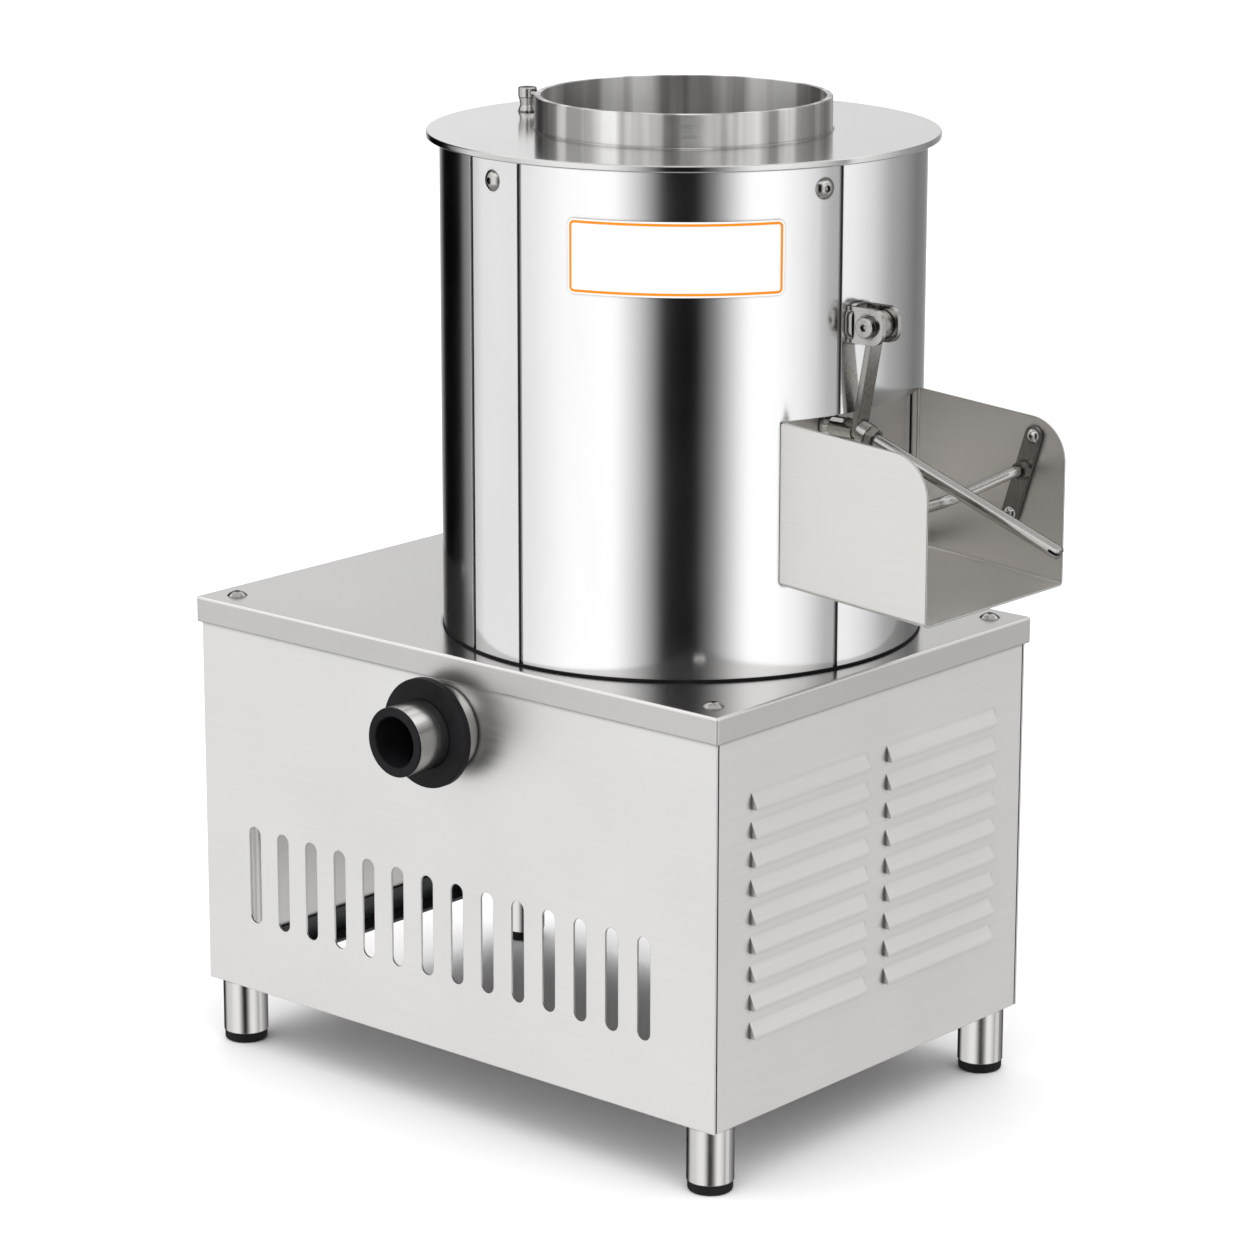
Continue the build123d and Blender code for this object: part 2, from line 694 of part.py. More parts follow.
def chamber_floor():
    """A pan with an upstand round the shaft and a hole over the drain."""
    floor = rod(CHAMBER_BORE - SEAT, DECK_TOP, FLOOR_TOP)
    floor += rod(UPSTAND_RADIUS, FLOOR_TOP, FLOOR_TOP + UPSTAND_HEIGHT)
    floor -= rod(UPSTAND_BORE, DECK_TOP, FLOOR_TOP + UPSTAND_HEIGHT)
    floor = DRUM * floor
    return floor - Pos(0, DRAIN_INLET_Y, 0) * rod(DRAIN_PIPE_RADIUS - DRAIN_PIPE_WALL, DECK_TOP, FLOOR_TOP)


def jacket_sheet(start, end):
    """One bright sheet of the jacket, short of the seams at its two ends."""
    gap = degrees(SEAM_WIDTH / 2 / DRUM_RADIUS)
    low = DECK_TOP + GASKET_HEIGHT
    sheet = curved_wall(DRUM_RADIUS, JACKET_INNER, start + gap, end - gap, low, DRUM_TOP)
    return DRUM * wall_cuts(sheet)


def jacket_front():
    """Front sheet, with a hole for the screw by its side seam."""
    return jacket_sheet(FRONT_SEAM, SIDE_SEAM) - jacket_screw_holes()


def jacket_strip():
    """Narrow sheet left of the front seam."""
    return jacket_sheet(STRIP_START, FRONT_SEAM) - jacket_screw_holes()


def jacket_rear():
    """Sheet that wraps the rest of the drum."""
    return jacket_sheet(SIDE_SEAM, STRIP_START + 360)


def jacket_battens():
    """Upright bars behind the seams, which the sheets are screwed to."""
    outer = JACKET_INNER - SEAT
    inner = CHAMBER_RADIUS + SEAT
    margin = degrees(BATTEN_MARGIN / DRUM_RADIUS)
    bars = []
    for start, end in ((STRIP_START, FRONT_SEAM), (SIDE_SCREW_ANGLE, SIDE_SEAM)):
        bar = curved_wall(outer, inner, start - margin, end + margin, DECK_TOP, DRUM_TOP)
        bars += (DRUM * (bar - outlet_cut()) - jacket_screw_holes()).solids()
    return Compound(bars)


def screw_places():
    """The jacket's screws, with their heads on the sheet."""
    angles = (STRIP_SCREW_ANGLE, SIDE_SCREW_ANGLE)
    return [DRUM * outward(angle, DRUM_RADIUS, JACKET_SCREW_Z) for angle in angles]


def jacket_screw_holes():
    """Clearance holes for the jacket's screws."""
    hole = rod(SCREW_RADIUS + SEAT, -SCREW_LENGTH, SCREW_HEAD_HEIGHT)
    return group(hole, screw_places())


def button_screws():
    """The six equal screws: one through the deck into each leg, and two in the jacket."""
    places = [Pos(0, 0, DECK_TOP) * place for place in leg_places()]
    return group(button_screw(), places + screw_places())


def base_gasket():
    """Rubber ring between the jacket and the deck."""
    return DRUM * tube(DRUM_RADIUS + GASKET_PROUD, JACKET_INNER, DECK_TOP, DECK_TOP + GASKET_HEIGHT)


def drum_cover():
    """The plate on top of the drum, bored for the feed collar."""
    plate = rod(COVER_RADIUS, DRUM_TOP, COVER_TOP)
    plate = fillet(plate.edges(), COVER_EDGE)
    return DRUM * (plate - rod(COLLAR_RADIUS + SEAT, DRUM_TOP, COVER_TOP))


def feed_collar():
    """A short tube through the cover, with its weld bead and an eased rim."""
    top = DRUM_TOP + COLLAR_HEIGHT
    bead = COVER_TOP + COLLAR_WELD
    ease = COLLAR_WELD / 2
    points = (
        (COLLAR_BORE, DRUM_TOP),
        (COLLAR_RADIUS, DRUM_TOP),
        (COLLAR_RADIUS, COVER_TOP),
        (COLLAR_RADIUS + COLLAR_WELD, COVER_TOP),
        (COLLAR_RADIUS, bead),
        (COLLAR_RADIUS, top - ease),
        (COLLAR_RADIUS - ease, top),
        (COLLAR_BORE, top),
    )
    return DRUM * turned(points)


def water_inlet():
    """Hose nipple at the drum's back: ribbed tube, with a nut against the jacket and a jet inside."""
    end = DRUM_RADIUS + INLET_REACH
    nipple = rod(INLET_RADIUS, CHAMBER_BORE - LINER_THICKNESS, end)
    nut_low = DRUM_RADIUS + SEAT
    nipple += hexagon(INLET_NUT, nut_low, nut_low + INLET_NUT_THICKNESS)
    rib = Cone(INLET_RADIUS + INLET_RIB, INLET_RADIUS, INLET_RIB * 3, align=UPRIGHT)
    for i in range(3):
        nipple += Pos(0, 0, end - (i + 1) * INLET_RIB * 4) * rib
    nipple -= rod(INLET_BORE, nut_low, end)
    nipple -= rod(INLET_JET, CHAMBER_BORE / 2, end)
    return DRUM * inlet_place() * nipple


def outlet_frame():
    """Sheet that lines the outlet between the drum's two walls."""
    half = OUTLET_WIDTH / 2
    edge = OUTLET_FRAME_SHEET
    outer = block((0, -half - edge, OUTLET_SILL - edge), (COVER_RADIUS, half + edge, OUTLET_HEAD + edge))
    space = tube(JACKET_INNER - SEAT, CHAMBER_RADIUS + SEAT, DECK_TOP, DRUM_TOP)
    lining = (outer - outlet_cut()) & space
    return DRUM * lining - jacket_battens()


# Turn latch


def latch_place():
    """The latch's axis, with X towards the feed collar."""
    return DRUM * Rot(0, 0, LATCH_ANGLE) * Pos(LATCH_DISTANCE, 0, COVER_TOP) * Rot(0, 0, 180)


def latch_post():
    """A waisted post on the cover, with the pin that its cap turns on."""
    middle = LATCH_POST_HEIGHT / 2
    base = LATCH_TONGUE_THICKNESS / 2
    points = (
        (0, 0),
        (LATCH_CAP_RADIUS, 0),
        (LATCH_CAP_RADIUS, base),
        (LATCH_POST_NECK, middle),
        (LATCH_POST_RADIUS, LATCH_POST_HEIGHT),
        (LATCH_PIN_RADIUS, LATCH_POST_HEIGHT),
        (LATCH_PIN_RADIUS, LATCH_POST_HEIGHT + LATCH_CAP_HEIGHT),
        (0, LATCH_POST_HEIGHT + LATCH_CAP_HEIGHT),
    )
    return latch_place() * turned(points)


def latch_cap():
    """The turning cap with the tongue that holds a lid down."""
    low = LATCH_POST_HEIGHT + RUNNING_GAP
    top = low + LATCH_CAP_HEIGHT + LATCH_TONGUE_THICKNESS
    cap = rod(LATCH_CAP_RADIUS, low, top)
    cap = fillet(cap.edges().group_by(Axis.Z)[-1], LATCH_TONGUE_THICKNESS / 2)
    tongue = SlotOverall(2 * LATCH_TONGUE, LATCH_TONGUE_WIDTH)
    tongue = extrude(tongue, LATCH_TONGUE_THICKNESS) & block((0, -LATCH_TONGUE, 0), (LATCH_TONGUE,) * 3)
    cap += Pos(0, 0, top - 2 * LATCH_TONGUE_THICKNESS) * tongue
    cap -= rod(LATCH_PIN_RADIUS + SHAFT_FIT, low, LATCH_POST_HEIGHT + LATCH_CAP_HEIGHT + RUNNING_GAP)
    return latch_place() * (cap - hexagon(LATCH_SOCKET, top - LATCH_TONGUE_THICKNESS / 2, top))


# Chute and stop bar, modelled about the drum's axis


def chute_section():
    """The folded sheet's section: a floor and two sides, with round bends."""
    outer = Pos(0, CHUTE_HEIGHT) * RectangleRounded(CHUTE_WIDTH, 2 * CHUTE_HEIGHT, CHUTE_BEND)
    inner = Pos(0, CHUTE_HEIGHT + CHUTE_SHEET) * RectangleRounded(
        CHUTE_WIDTH - 2 * CHUTE_SHEET, 2 * CHUTE_HEIGHT, CHUTE_BEND - CHUTE_SHEET
    )
    return outer - inner


def chute_side():
    """The chute's outline seen from its side: upright in front, sloping down from the drum."""
    back = sqrt(DRUM_RADIUS**2 - CHUTE_WIDTH**2 / 4)
    rise = (CHUTE_REACH - back) * CHUTE_FALL
    low, high = CHUTE_LIP_Z, CHUTE_LIP_Z + CHUTE_HEIGHT
    corners = ((back, low + rise), (CHUTE_REACH, low), (CHUTE_REACH, high), (back, high + rise))
    outline = make_face(Polyline(*corners, close=True))
    outline = fillet(outline.vertices().group_by(Axis.X)[-1].sort_by(Axis.Y)[-1], CHUTE_FRONT_CORNER)
    outline = fillet(outline.vertices().group_by(Axis.X)[0].sort_by(Axis.Y)[-1], CHUTE_BACK_CORNER)
    return extrude(Plane.XZ * outline, CHUTE_WIDTH, both=True)


def chute():
    """Folded discharge chute, cut to the drum's curve and welded to it."""
    trough = extrude(Plane.YZ * chute_section(), 2 * CHUTE_REACH, dir=(-1, 0, 0))
    trough = Pos(CHUTE_REACH, 0, CHUTE_LIP_Z) * Rot(0, CHUTE_SLOPE, 0) * Pos(CHUTE_LENGTH, 0, 0) * trough
    return DRUM * (trough & chute_side() - rod(DRUM_RADIUS + SEAT, 0, COVER_TOP))


def both_sides(shape):
    """A piece on the chute's far side and its mirror image on the near side."""
    return Compound([DRUM * shape, DRUM * mirror(shape, Plane.XZ)])


def stop_straps():
    """Flat straps inside the chute's sides, each with a boss for the stop bar."""
    run_x, run_z = STRAP_TOP[0] - STRAP_LOW[0], STRAP_TOP[1] - STRAP_LOW[1]
    middle = Pos(STRAP_LOW[0] + run_x / 2, STRAP_LOW[1] + run_z / 2)
    tilt = degrees(atan2(run_z, run_x))
    outline = middle * SlotCenterToCenter(hypot(run_x, run_z), STRAP_WIDTH, rotation=tilt)
    for x, z in (STRAP_TOP, STRAP_LOW):
        outline -= Pos(x, z) * Circle(STUD_RADIUS + SEAT)
    strap = extrude(Plane.XZ.offset(-STRAP_FACE - STRAP_THICKNESS) * outline, STRAP_THICKNESS)
    boss = rod(STRAP_BOSS_RADIUS, 0, STRAP_BOSS_LENGTH)
    return both_sides(strap + Pos(STRAP_BOSS_X, STRAP_FACE, STRAP_BOSS_Z) * Rot(90, 0, 0) * boss)


def strap_studs():
    """Two domed studs on each strap, welded to the chute's side behind it."""
    stud = domed_screw(
        STUD_HEAD_RADIUS, STUD_HEAD_HEIGHT, STUD_RADIUS, STRAP_THICKNESS, STUD_SOCKET, STUD_SINK
    )
    studs = [both_sides(Pos(x, STRAP_FACE, z) * Rot(90, 0, 0) * stud) for x, z in (STRAP_TOP, STRAP_LOW)]
    return Compound([solid for pair in studs for solid in pair.solids()])


def stop_bar():
    """A bent bar from boss to boss, which the open gate comes to rest against."""
    end = STRAP_FACE - STRAP_BOSS_LENGTH
    lead = end - STOP_BAR_LEAD
    bow = STOP_BAR_STRAIGHT / 2
    half = [
        (STRAP_BOSS_X, end, STRAP_BOSS_Z),
        (STRAP_BOSS_X, lead, STRAP_BOSS_Z),
        (STOP_BAR_X, bow, STOP_BAR_Z),
    ]
    other = [(x, -y, z) for x, y, z in reversed(half)]
    radii = [STOP_BAR_LEAD, STOP_BAR_BEND, STOP_BAR_BEND, STOP_BAR_LEAD]
    path = FilletPolyline(*half, *other, radius=radii)
    section = Plane(origin=path @ 0, z_dir=path % 0) * Circle(STOP_BAR_RADIUS)
    return DRUM * sweep(section, path)


# Gate linkage


def pin_place():
    """The pin's axis, with Z towards the front."""
    return LINK * Pos(PIN_X, 0, PIN_Z) * Rot(90, 0, 0)


def clevis_bracket():
    """A base cut to the drum's curve, with two cheeks that hold the pin."""
    base = Pos(BRACKET_BASE_X / 2, 0, PIN_Z) * Box(BRACKET_BASE_X, BRACKET_BASE_WIDTH, BRACKET_BASE_HEIGHT)
    base = fillet(base.edges().filter_by(Axis.X), CHEEK_CORNER)
    low_x, high_x = BRACKET_BASE_X / 2, PIN_X + CHEEK_HEIGHT / 2
    outline = Rectangle(high_x - low_x, CHEEK_HEIGHT)
    outline = fillet(outline.vertices(), CHEEK_CORNER)
    outline = Pos((low_x + high_x) / 2, PIN_Z) * outline
    cheeks = extrude(Plane.XZ.offset(-CHEEK_OUTER) * outline, 2 * CHEEK_OUTER)
    cheeks -= block((BRACKET_BASE_X, -CHEEK_INNER, 0), (CHUTE_REACH, CHEEK_INNER, DRUM_TOP))
    bracket = Pos(0, LINK_PLANE, 0) * (base + cheeks) - rod(DRUM_RADIUS + SEAT, 0, DRUM_TOP)
    hole = rod(PIN_RADIUS + SEAT, -BRACKET_BASE_WIDTH, BRACKET_BASE_WIDTH)
    bracket = bracket.solids().filter_by(lambda solid: solid.center().X > 0)[0]
    return DRUM * bracket - pin_place() * hole


def clevis_pin():
    """Socket-head pin that the gate hangs from."""
    seat = CHEEK_OUTER + WASHER_THICKNESS
    pin = rod(PIN_RADIUS, -seat - NUT_THICKNESS - PIN_END, seat)
    head = rod(PIN_HEAD_RADIUS, seat, seat + PIN_HEAD)
    head = fillet(head.edges().group_by(Axis.Z)[-1], PIN_HEAD / 4)
    head -= hexagon(SCREW_SOCKET, seat + PIN_HEAD - SCREW_SOCKET_DEPTH, seat + PIN_HEAD)
    return pin_place() * (pin + head)


def clevis_nuts():
    """A washer at each end of the pin, and its nut."""
    seat = CHEEK_OUTER + WASHER_THICKNESS
    washer = tube(PIN_HEAD_RADIUS + 1, PIN_RADIUS + SEAT, CHEEK_OUTER, seat)
    nut = hexagon(NUT_ACROSS_FLATS, -seat - NUT_THICKNESS, -seat)
    nut -= rod(PIN_RADIUS + SEAT, -seat - NUT_THICKNESS, -seat)
    return Compound([pin_place() * piece for piece in (washer, Rot(180, 0, 0) * washer, nut)])


def handle_place():
    """The handle's axis through the knuckle, with Z outward and down."""
    return LINK * Pos(KNUCKLE_X, 0, KNUCKLE_Z) * Rot(0, 90 + HANDLE_DROP, 0)


def handle_stud_hole():
    """The hole for the handle's threaded root, through the arm and into the boss."""
    return handle_place() * rod(STUD_ROOT_RADIUS + SEAT, -STUD_ROOT_LENGTH, ARM_WIDTH / 2)


def arm_place():
    """The pin's axis along Y, with Z up along the hanging arm and X out of its wide face."""
    return LINK * Pos(PIN_X, 0, PIN_Z) * Rot(0, ARM_TILT, 0)


def beyond_arm(side):
    """All that lies on the inner (-1) or the outer (1) side of the arm's middle plane."""
    face, far = side * ARM_THICKNESS / 2, side * CHUTE_REACH
    high = ARM_LENGTH / 2
    low = -ARM_LENGTH - HANDLE_LENGTH
    return arm_place() * block((min(face, far), -CHUTE_WIDTH, low), (max(face, far), CHUTE_WIDTH, high))


def gate_arm():
    """A flat bar with an eye round the pin and a rounded lower end."""
    outline = Pos(0, -ARM_LENGTH / 2) * Rectangle(ARM_WIDTH, ARM_LENGTH)
    outline += Pos(0, -ARM_LENGTH) * Circle(ARM_WIDTH / 2)
    bar = extrude(Plane.YZ * outline, ARM_THICKNESS / 2, both=True)
    eye = Rot(90, 0, 0) * rod(EYE_RADIUS, -ARM_WIDTH / 2, ARM_WIDTH / 2)
    bore = Rot(90, 0, 0) * rod(PIN_RADIUS + SHAFT_FIT, -ARM_WIDTH, ARM_WIDTH)
    return arm_place() * (bar + eye - bore) - handle_stud_hole()


def gate_boss():
    """A flanged spacer between the gate and the arm."""
    taper = BOSS_FLANGE + BOSS_FLANGE_RADIUS - BOSS_RADIUS
    points = (
        (0, 0),
        (BOSS_FLANGE_RADIUS, 0),
        (BOSS_FLANGE_RADIUS, BOSS_FLANGE),
        (BOSS_RADIUS, taper),
        (BOSS_RADIUS, KNUCKLE_X - GATE_FACE),
        (0, KNUCKLE_X - GATE_FACE),
    )
    boss = LINK * Pos(GATE_FACE, 0, KNUCKLE_Z) * Rot(0, 90, 0) * turned(points)
    return (boss & beyond_arm(-1)) - handle_stud_hole()


def gate_handle():
    """Pull rod with a collar and a nut against the arm, and a slotted tip."""
    nut_low = ARM_THICKNESS / 2 + HANDLE_COLLAR
    slot = Pos(0, 0, HANDLE_LENGTH) * Box(HANDLE_SLOT_WIDTH, 3 * HANDLE_RADIUS, 2 * HANDLE_SLOT_DEPTH)
    shank = rod(HANDLE_RADIUS, 0, HANDLE_LENGTH)
    shank = chamfer(shank.edges().group_by(Axis.Z)[-1], HANDLE_TIP_EDGE) - slot
    shank += rod(HANDLE_COLLAR_RADIUS, 0, nut_low)
    shank += hexagon(NUT_ACROSS_FLATS, nut_low, nut_low + NUT_THICKNESS)
    root = rod(STUD_ROOT_RADIUS, RUNNING_GAP - STUD_ROOT_LENGTH, nut_low)
    return (handle_place() * shank & beyond_arm(1)) + handle_place() * root


def gate_plate():
    """The flat gate, which closes the outlet inside its frame."""
    outline = RectangleRounded(GATE_WIDTH, GATE_TOP - GATE_BOTTOM, GATE_CORNER)
    plate = extrude(Plane.YZ * outline, GATE_THICKNESS)
    return DRUM * Pos(GATE_PLANE, 0, (GATE_TOP + GATE_BOTTOM) / 2) * plate


# Peeling disc, shaft and bearings


def disc_casting():
    """Disc with its hub, the skirt that throws water off the upstand, and its paddles."""
    bore = SHAFT_RADIUS + SEAT
    points = (
        (bore, HUB_BOTTOM),
        (SLINGER_BORE, HUB_BOTTOM),
        (SLINGER_BORE, SLINGER_BOTTOM),
        (HUB_RADIUS, SLINGER_BOTTOM),
        (HUB_RADIUS, DISC_BOTTOM),
        (DISC_RADIUS, DISC_BOTTOM),
        (DISC_RADIUS, DISC_TOP),
        (bore, DISC_TOP),
    )
    casting = turned(points)
    root, half = SLINGER_BORE + SLINGER_WALL / 2, PADDLE_THICKNESS / 2
    paddle = block((root, -half, PADDLE_BOTTOM), (PADDLE_OUTER, half, DISC_BOTTOM))
    for turn in around(PADDLE_COUNT):
        casting += turn * paddle
    return DRUM * casting


def disc_grit():
    """Rough layer bonded to the disc, with low ridges that tumble the potatoes."""
    layer = tube(DISC_RADIUS, CAP_NUT_RADIUS + RUNNING_GAP, DISC_TOP, GRIT_TOP)
    crest = GRIT_TOP + RIDGE_RISE
    envelope = turned(
        (
            (RIDGE_INNER, DISC_TOP),
            (RIDGE_OUTER, DISC_TOP),
            (RIDGE_OUTER, GRIT_TOP),
            (RIDGE_OUTER - 2 * RIDGE_RISE, crest),
            (RIDGE_INNER + RIDGE_RISE, crest),
            (RIDGE_INNER, GRIT_TOP),
        )
    )
    ridge = Rot(0, 90, 0) * rod(RIDGE_RADIUS, 0, DISC_RADIUS)
    ridge = Pos(0, 0, crest - RIDGE_RADIUS) * ridge & envelope
    for turn in around(RIDGE_COUNT):
        layer += turn * ridge
    return DRUM * layer


def disc_nut():
    """Smooth domed nut that holds the disc on its shaft."""
    sphere = (CAP_NUT_RADIUS**2 + CAP_NUT_HEIGHT**2) / (2 * CAP_NUT_HEIGHT)
    dome = rod(CAP_NUT_RADIUS, DISC_TOP, DISC_TOP + CAP_NUT_HEIGHT)
    dome &= Pos(0, 0, DISC_TOP + CAP_NUT_HEIGHT - sphere) * Sphere(sphere)
    return DRUM * (dome - rod(THREAD_RADIUS + SEAT, DISC_TOP, DISC_TOP + THREAD_LENGTH + SEAT))


def main_shaft():
    """Stepped shaft from the driven pulley up to the disc's nut."""
    bottom = BELT_Z - PULLEY_WIDTH / 2 - SHAFT_END
    points = (
        (0, bottom),
        (SHAFT_RADIUS, bottom),
        (SHAFT_RADIUS, DECK_TOP),
        (SHAFT_COLLAR_RADIUS, DECK_TOP),
        (SHAFT_COLLAR_RADIUS, HUB_BOTTOM),
        (SHAFT_RADIUS, HUB_BOTTOM),
        (SHAFT_RADIUS, DISC_TOP - RUNNING_GAP),
        (THREAD_RADIUS, DISC_TOP - RUNNING_GAP),
        (THREAD_RADIUS, DISC_TOP + THREAD_LENGTH),
        (0, DISC_TOP + THREAD_LENGTH),
    )
    return DRUM * turned(points)


def bearing_housing():
    """Flanged and ribbed casting under the deck, bored for two bearings and the seal."""
    upper, lower = bearing_seats()
    body = rod(HOUSING_RADIUS, HOUSING_BOTTOM, PANEL_TOP)
    body += rod(HOUSING_FLANGE_RADIUS, HOUSING_FLANGE_LOW, PANEL_TOP)
    for turn in around(HOUSING_RIBS):
        body += turn * housing_rib()
    body -= rod(HOUSING_WAIST, HOUSING_BOTTOM, PANEL_TOP)
    body -= rod(SEAL_RADIUS + SEAT, PANEL_TOP - SEAL_HEIGHT, PANEL_TOP)
    body -= rod(BEARING_RADIUS + SEAT, upper, upper + BEARING_WIDTH)
    body -= rod(BEARING_RADIUS + SEAT, HOUSING_BOTTOM, lower + BEARING_WIDTH)
    hole = Pos(HOUSING_BOLT_CIRCLE, 0, 0) * rod(BOLT_RADIUS + SEAT, HOUSING_FLANGE_LOW, PANEL_TOP)
    for turn in around(HOUSING_BOLTS, HOUSING_BOLT_TURN):
        body -= turn * hole
    return DRUM * body


def housing_rib():
    """One tapered rib between the housing's barrel and its flange."""
    root = HOUSING_RADIUS - HOUSING_WALL / 2
    low = PANEL_TOP - HOUSING_RIB_HEIGHT
    outline = Polyline(
        (root, HOUSING_FLANGE_LOW),
        (HOUSING_FLANGE_RADIUS, HOUSING_FLANGE_LOW),
        (HOUSING_RADIUS, low),
        (root, low),
        close=True,
    )
    return extrude(Plane.XZ * make_face(outline), HOUSING_RIB_THICKNESS / 2, both=True)


def bearing_seats():
    """The lower face of the upper and of the lower bearing."""
    upper = PANEL_TOP - SEAL_HEIGHT - BEARING_WIDTH
    lower = HOUSING_BOTTOM + BEARING_RECESS
    return upper, lower


def shaft_bearings():
    """Two sealed ball bearings, with the shield's groove on each face."""
    half = BEARING_WIDTH / 2
    ring = tube(BEARING_RADIUS, SHAFT_RADIUS + SHAFT_FIT, -half, half)
    groove = tube(BEARING_RADIUS - BEARING_RING, SHAFT_RADIUS + BEARING_RING, half - BEARING_GROOVE, half)
    ring = ring - groove - Rot(180, 0, 0) * groove
    return group(ring, [DRUM * Pos(0, 0, low + half) for low in bearing_seats()])


def shaft_seal():
    """Lip seal over the upper bearing."""
    low, high = PANEL_TOP - SEAL_HEIGHT, PANEL_TOP
    points = (
        (SHAFT_RADIUS + SHAFT_FIT, low + SEAL_HEIGHT / 3),
        (SHAFT_COLLAR_RADIUS, low),
        (SEAL_RADIUS, low),
        (SEAL_RADIUS, high),
        (SHAFT_COLLAR_RADIUS, high),
        (SHAFT_RADIUS + SHAFT_FIT, high - SEAL_HEIGHT / 3),
    )
    return DRUM * turned(points)


# Belt drive


def groove_profile():
    """Half widths of a pulley's groove at its mouth and at its bottom, and its depth."""
    slant = tan(radians(BELT_SLANT))
    mouth = BELT_WIDTH / 2 + BELT_DEPTH * slant + BELT_GAP
    depth = BELT_DEPTH + BELT_THICKNESS + BELT_GAP
    return mouth, mouth - depth * slant, depth


def pulley(radius, bore):
    """A solid wheel with one groove, about Z at the belt's height."""
    half = PULLEY_WIDTH / 2
    mouth, bottom, depth = groove_profile()
    points = (
        (bore, -half),
        (radius, -half),
        (radius, -mouth),
        (radius - depth, -bottom),
        (radius - depth, bottom),
        (radius, mouth),
        (radius, half),
        (bore, half),
    )
    return Pos(0, 0, BELT_Z) * turned(points)


def driven_pulley():
    """Large pulley, thinned to a web with lightening holes."""
    wheel = pulley(DRIVEN_RADIUS, SHAFT_RADIUS + SEAT)
    rim = DRIVEN_RADIUS - groove_profile()[2] - PULLEY_RIM
    half = PULLEY_WIDTH / 2
    wheel -= tube(rim, PULLEY_HUB_RADIUS, BELT_Z + PULLEY_WEB / 2, BELT_Z + half)
    wheel -= tube(rim, PULLEY_HUB_RADIUS, BELT_Z - half, BELT_Z - PULLEY_WEB / 2)
    for turn in around(PULLEY_HOLES):
        wheel -= turn * Pos((rim + PULLEY_HUB_RADIUS) / 2, 0, 0) * rod(PULLEY_HOLE_RADIUS, 0, PANEL_TOP)
    return DRUM * wheel


def drive_pulley():
    """Small pulley on the motor's shaft."""
    return MOTOR * pulley(DRIVE_RADIUS, MOTOR_SHAFT_RADIUS + SEAT)


def belt_radius(pulley_radius):
    """The radius at the middle of the belt where it lies in a pulley."""
    return pulley_radius - BELT_DEPTH - BELT_THICKNESS / 2


def belt_section(radius):
    """The belt's tapered section at a radius, in the plane of X and Z."""
    wide = BELT_WIDTH / 2
    narrow = wide - BELT_THICKNESS * tan(radians(BELT_SLANT))
    outer, inner = radius + BELT_THICKNESS / 2, radius - BELT_THICKNESS / 2
    corners = ((outer, wide), (outer, -wide), (inner, -narrow), (inner, narrow))
    return make_face(Polyline(*[(x, 0, BELT_Z + z) for x, z in corners], close=True))


def drive_belt():
    """Endless belt: two arcs on the pulleys and the straight runs that touch them."""
    large, small = belt_radius(DRIVEN_RADIUS), belt_radius(DRIVE_RADIUS)
    span = DRUM_X - MOTOR_X
    touch = 180 - degrees(acos((large - small) / span))
    run = sqrt(span**2 - (large - small) ** 2)
    belt = DRUM * Rot(0, 0, -touch) * revolve(belt_section(large), Axis.Z, 2 * touch)
    belt += MOTOR * Rot(0, 0, touch) * revolve(belt_section(small), Axis.Z, 360 - 2 * touch)
    belt += DRUM * Rot(0, 0, touch) * extrude(belt_section(large), run, dir=(0, 1, 0))
    belt += DRUM * Rot(0, 0, -touch) * extrude(belt_section(large), run, dir=(0, -1, 0))
    return belt


# Motor


def motor_housing():
    """Finned motor body with two feet, its lower end bell, and the shaft's bore."""
    low = MOTOR_BOTTOM + MOTOR_END_HEIGHT
    high = MOTOR_TOP - FAN_COVER_HEIGHT
    body = rod(MOTOR_RADIUS, low, high)
    half = MOTOR_FIN_THICKNESS / 2
    fin = block((MOTOR_RADIUS / 2, -half, low), (MOTOR_FIN_RADIUS, half, high))
    for turn in around(MOTOR_FINS, 180 / MOTOR_FINS):
        body += turn * fin
    for height in (MOTOR_FOOT_LOW, MOTOR_FOOT_HIGH):
        body += Pos(0, 0, height) * motor_foot()
    body += motor_end_bell()
    body -= rod(MOTOR_SHAFT_RADIUS + SHAFT_FIT, MOTOR_BOTTOM, MOTOR_BOTTOM + MOTOR_SHAFT_DEPTH + RUNNING_GAP)
    body = MOTOR * body
    for place in foot_bolt_places():
        body -= place * rod(BOLT_RADIUS + SEAT, -MOUNT_PLATE - BOLT_GRIP, 0)
    return body


def motor_foot():
    """One foot, from inside the motor's body out to its mount."""
    half = MOTOR_FOOT_WIDTH / 2
    rise = MOTOR_FOOT_HEIGHT / 2
    return block((0, -half, -rise), (MOTOR_FOOT_REACH, half, rise))


def motor_end_bell():
    """The tapered lower end that carries the shaft's bearing."""
    high = MOTOR_BOTTOM + MOTOR_END_HEIGHT
    points = (
        (0, high),
        (MOTOR_SHELL_RADIUS, high),
        (MOTOR_SHELL_RADIUS, high - MOTOR_END_HEIGHT / 3),
        (2 * MOTOR_SHAFT_RADIUS, MOTOR_BOTTOM),
        (0, MOTOR_BOTTOM),
    )
    return turned(points)


def motor_fan_cover():
    """Pressed cap over the motor's fan, with a ring of air holes."""
    low = MOTOR_TOP - FAN_COVER_HEIGHT
    cap = rod(MOTOR_SHELL_RADIUS, low, MOTOR_TOP)
    cap = fillet(cap.edges().group_by(Axis.Z)[-1], FAN_COVER_HEIGHT / 4)
    cap -= rod(MOTOR_RADIUS, low, MOTOR_TOP - MOTOR_FIN_THICKNESS)
    for turn in around(FAN_COVER_HOLES):
        cap -= turn * Pos(MOTOR_RADIUS / 2, 0, 0) * rod(FAN_COVER_HOLE_RADIUS, low, MOTOR_TOP)
    return MOTOR * cap


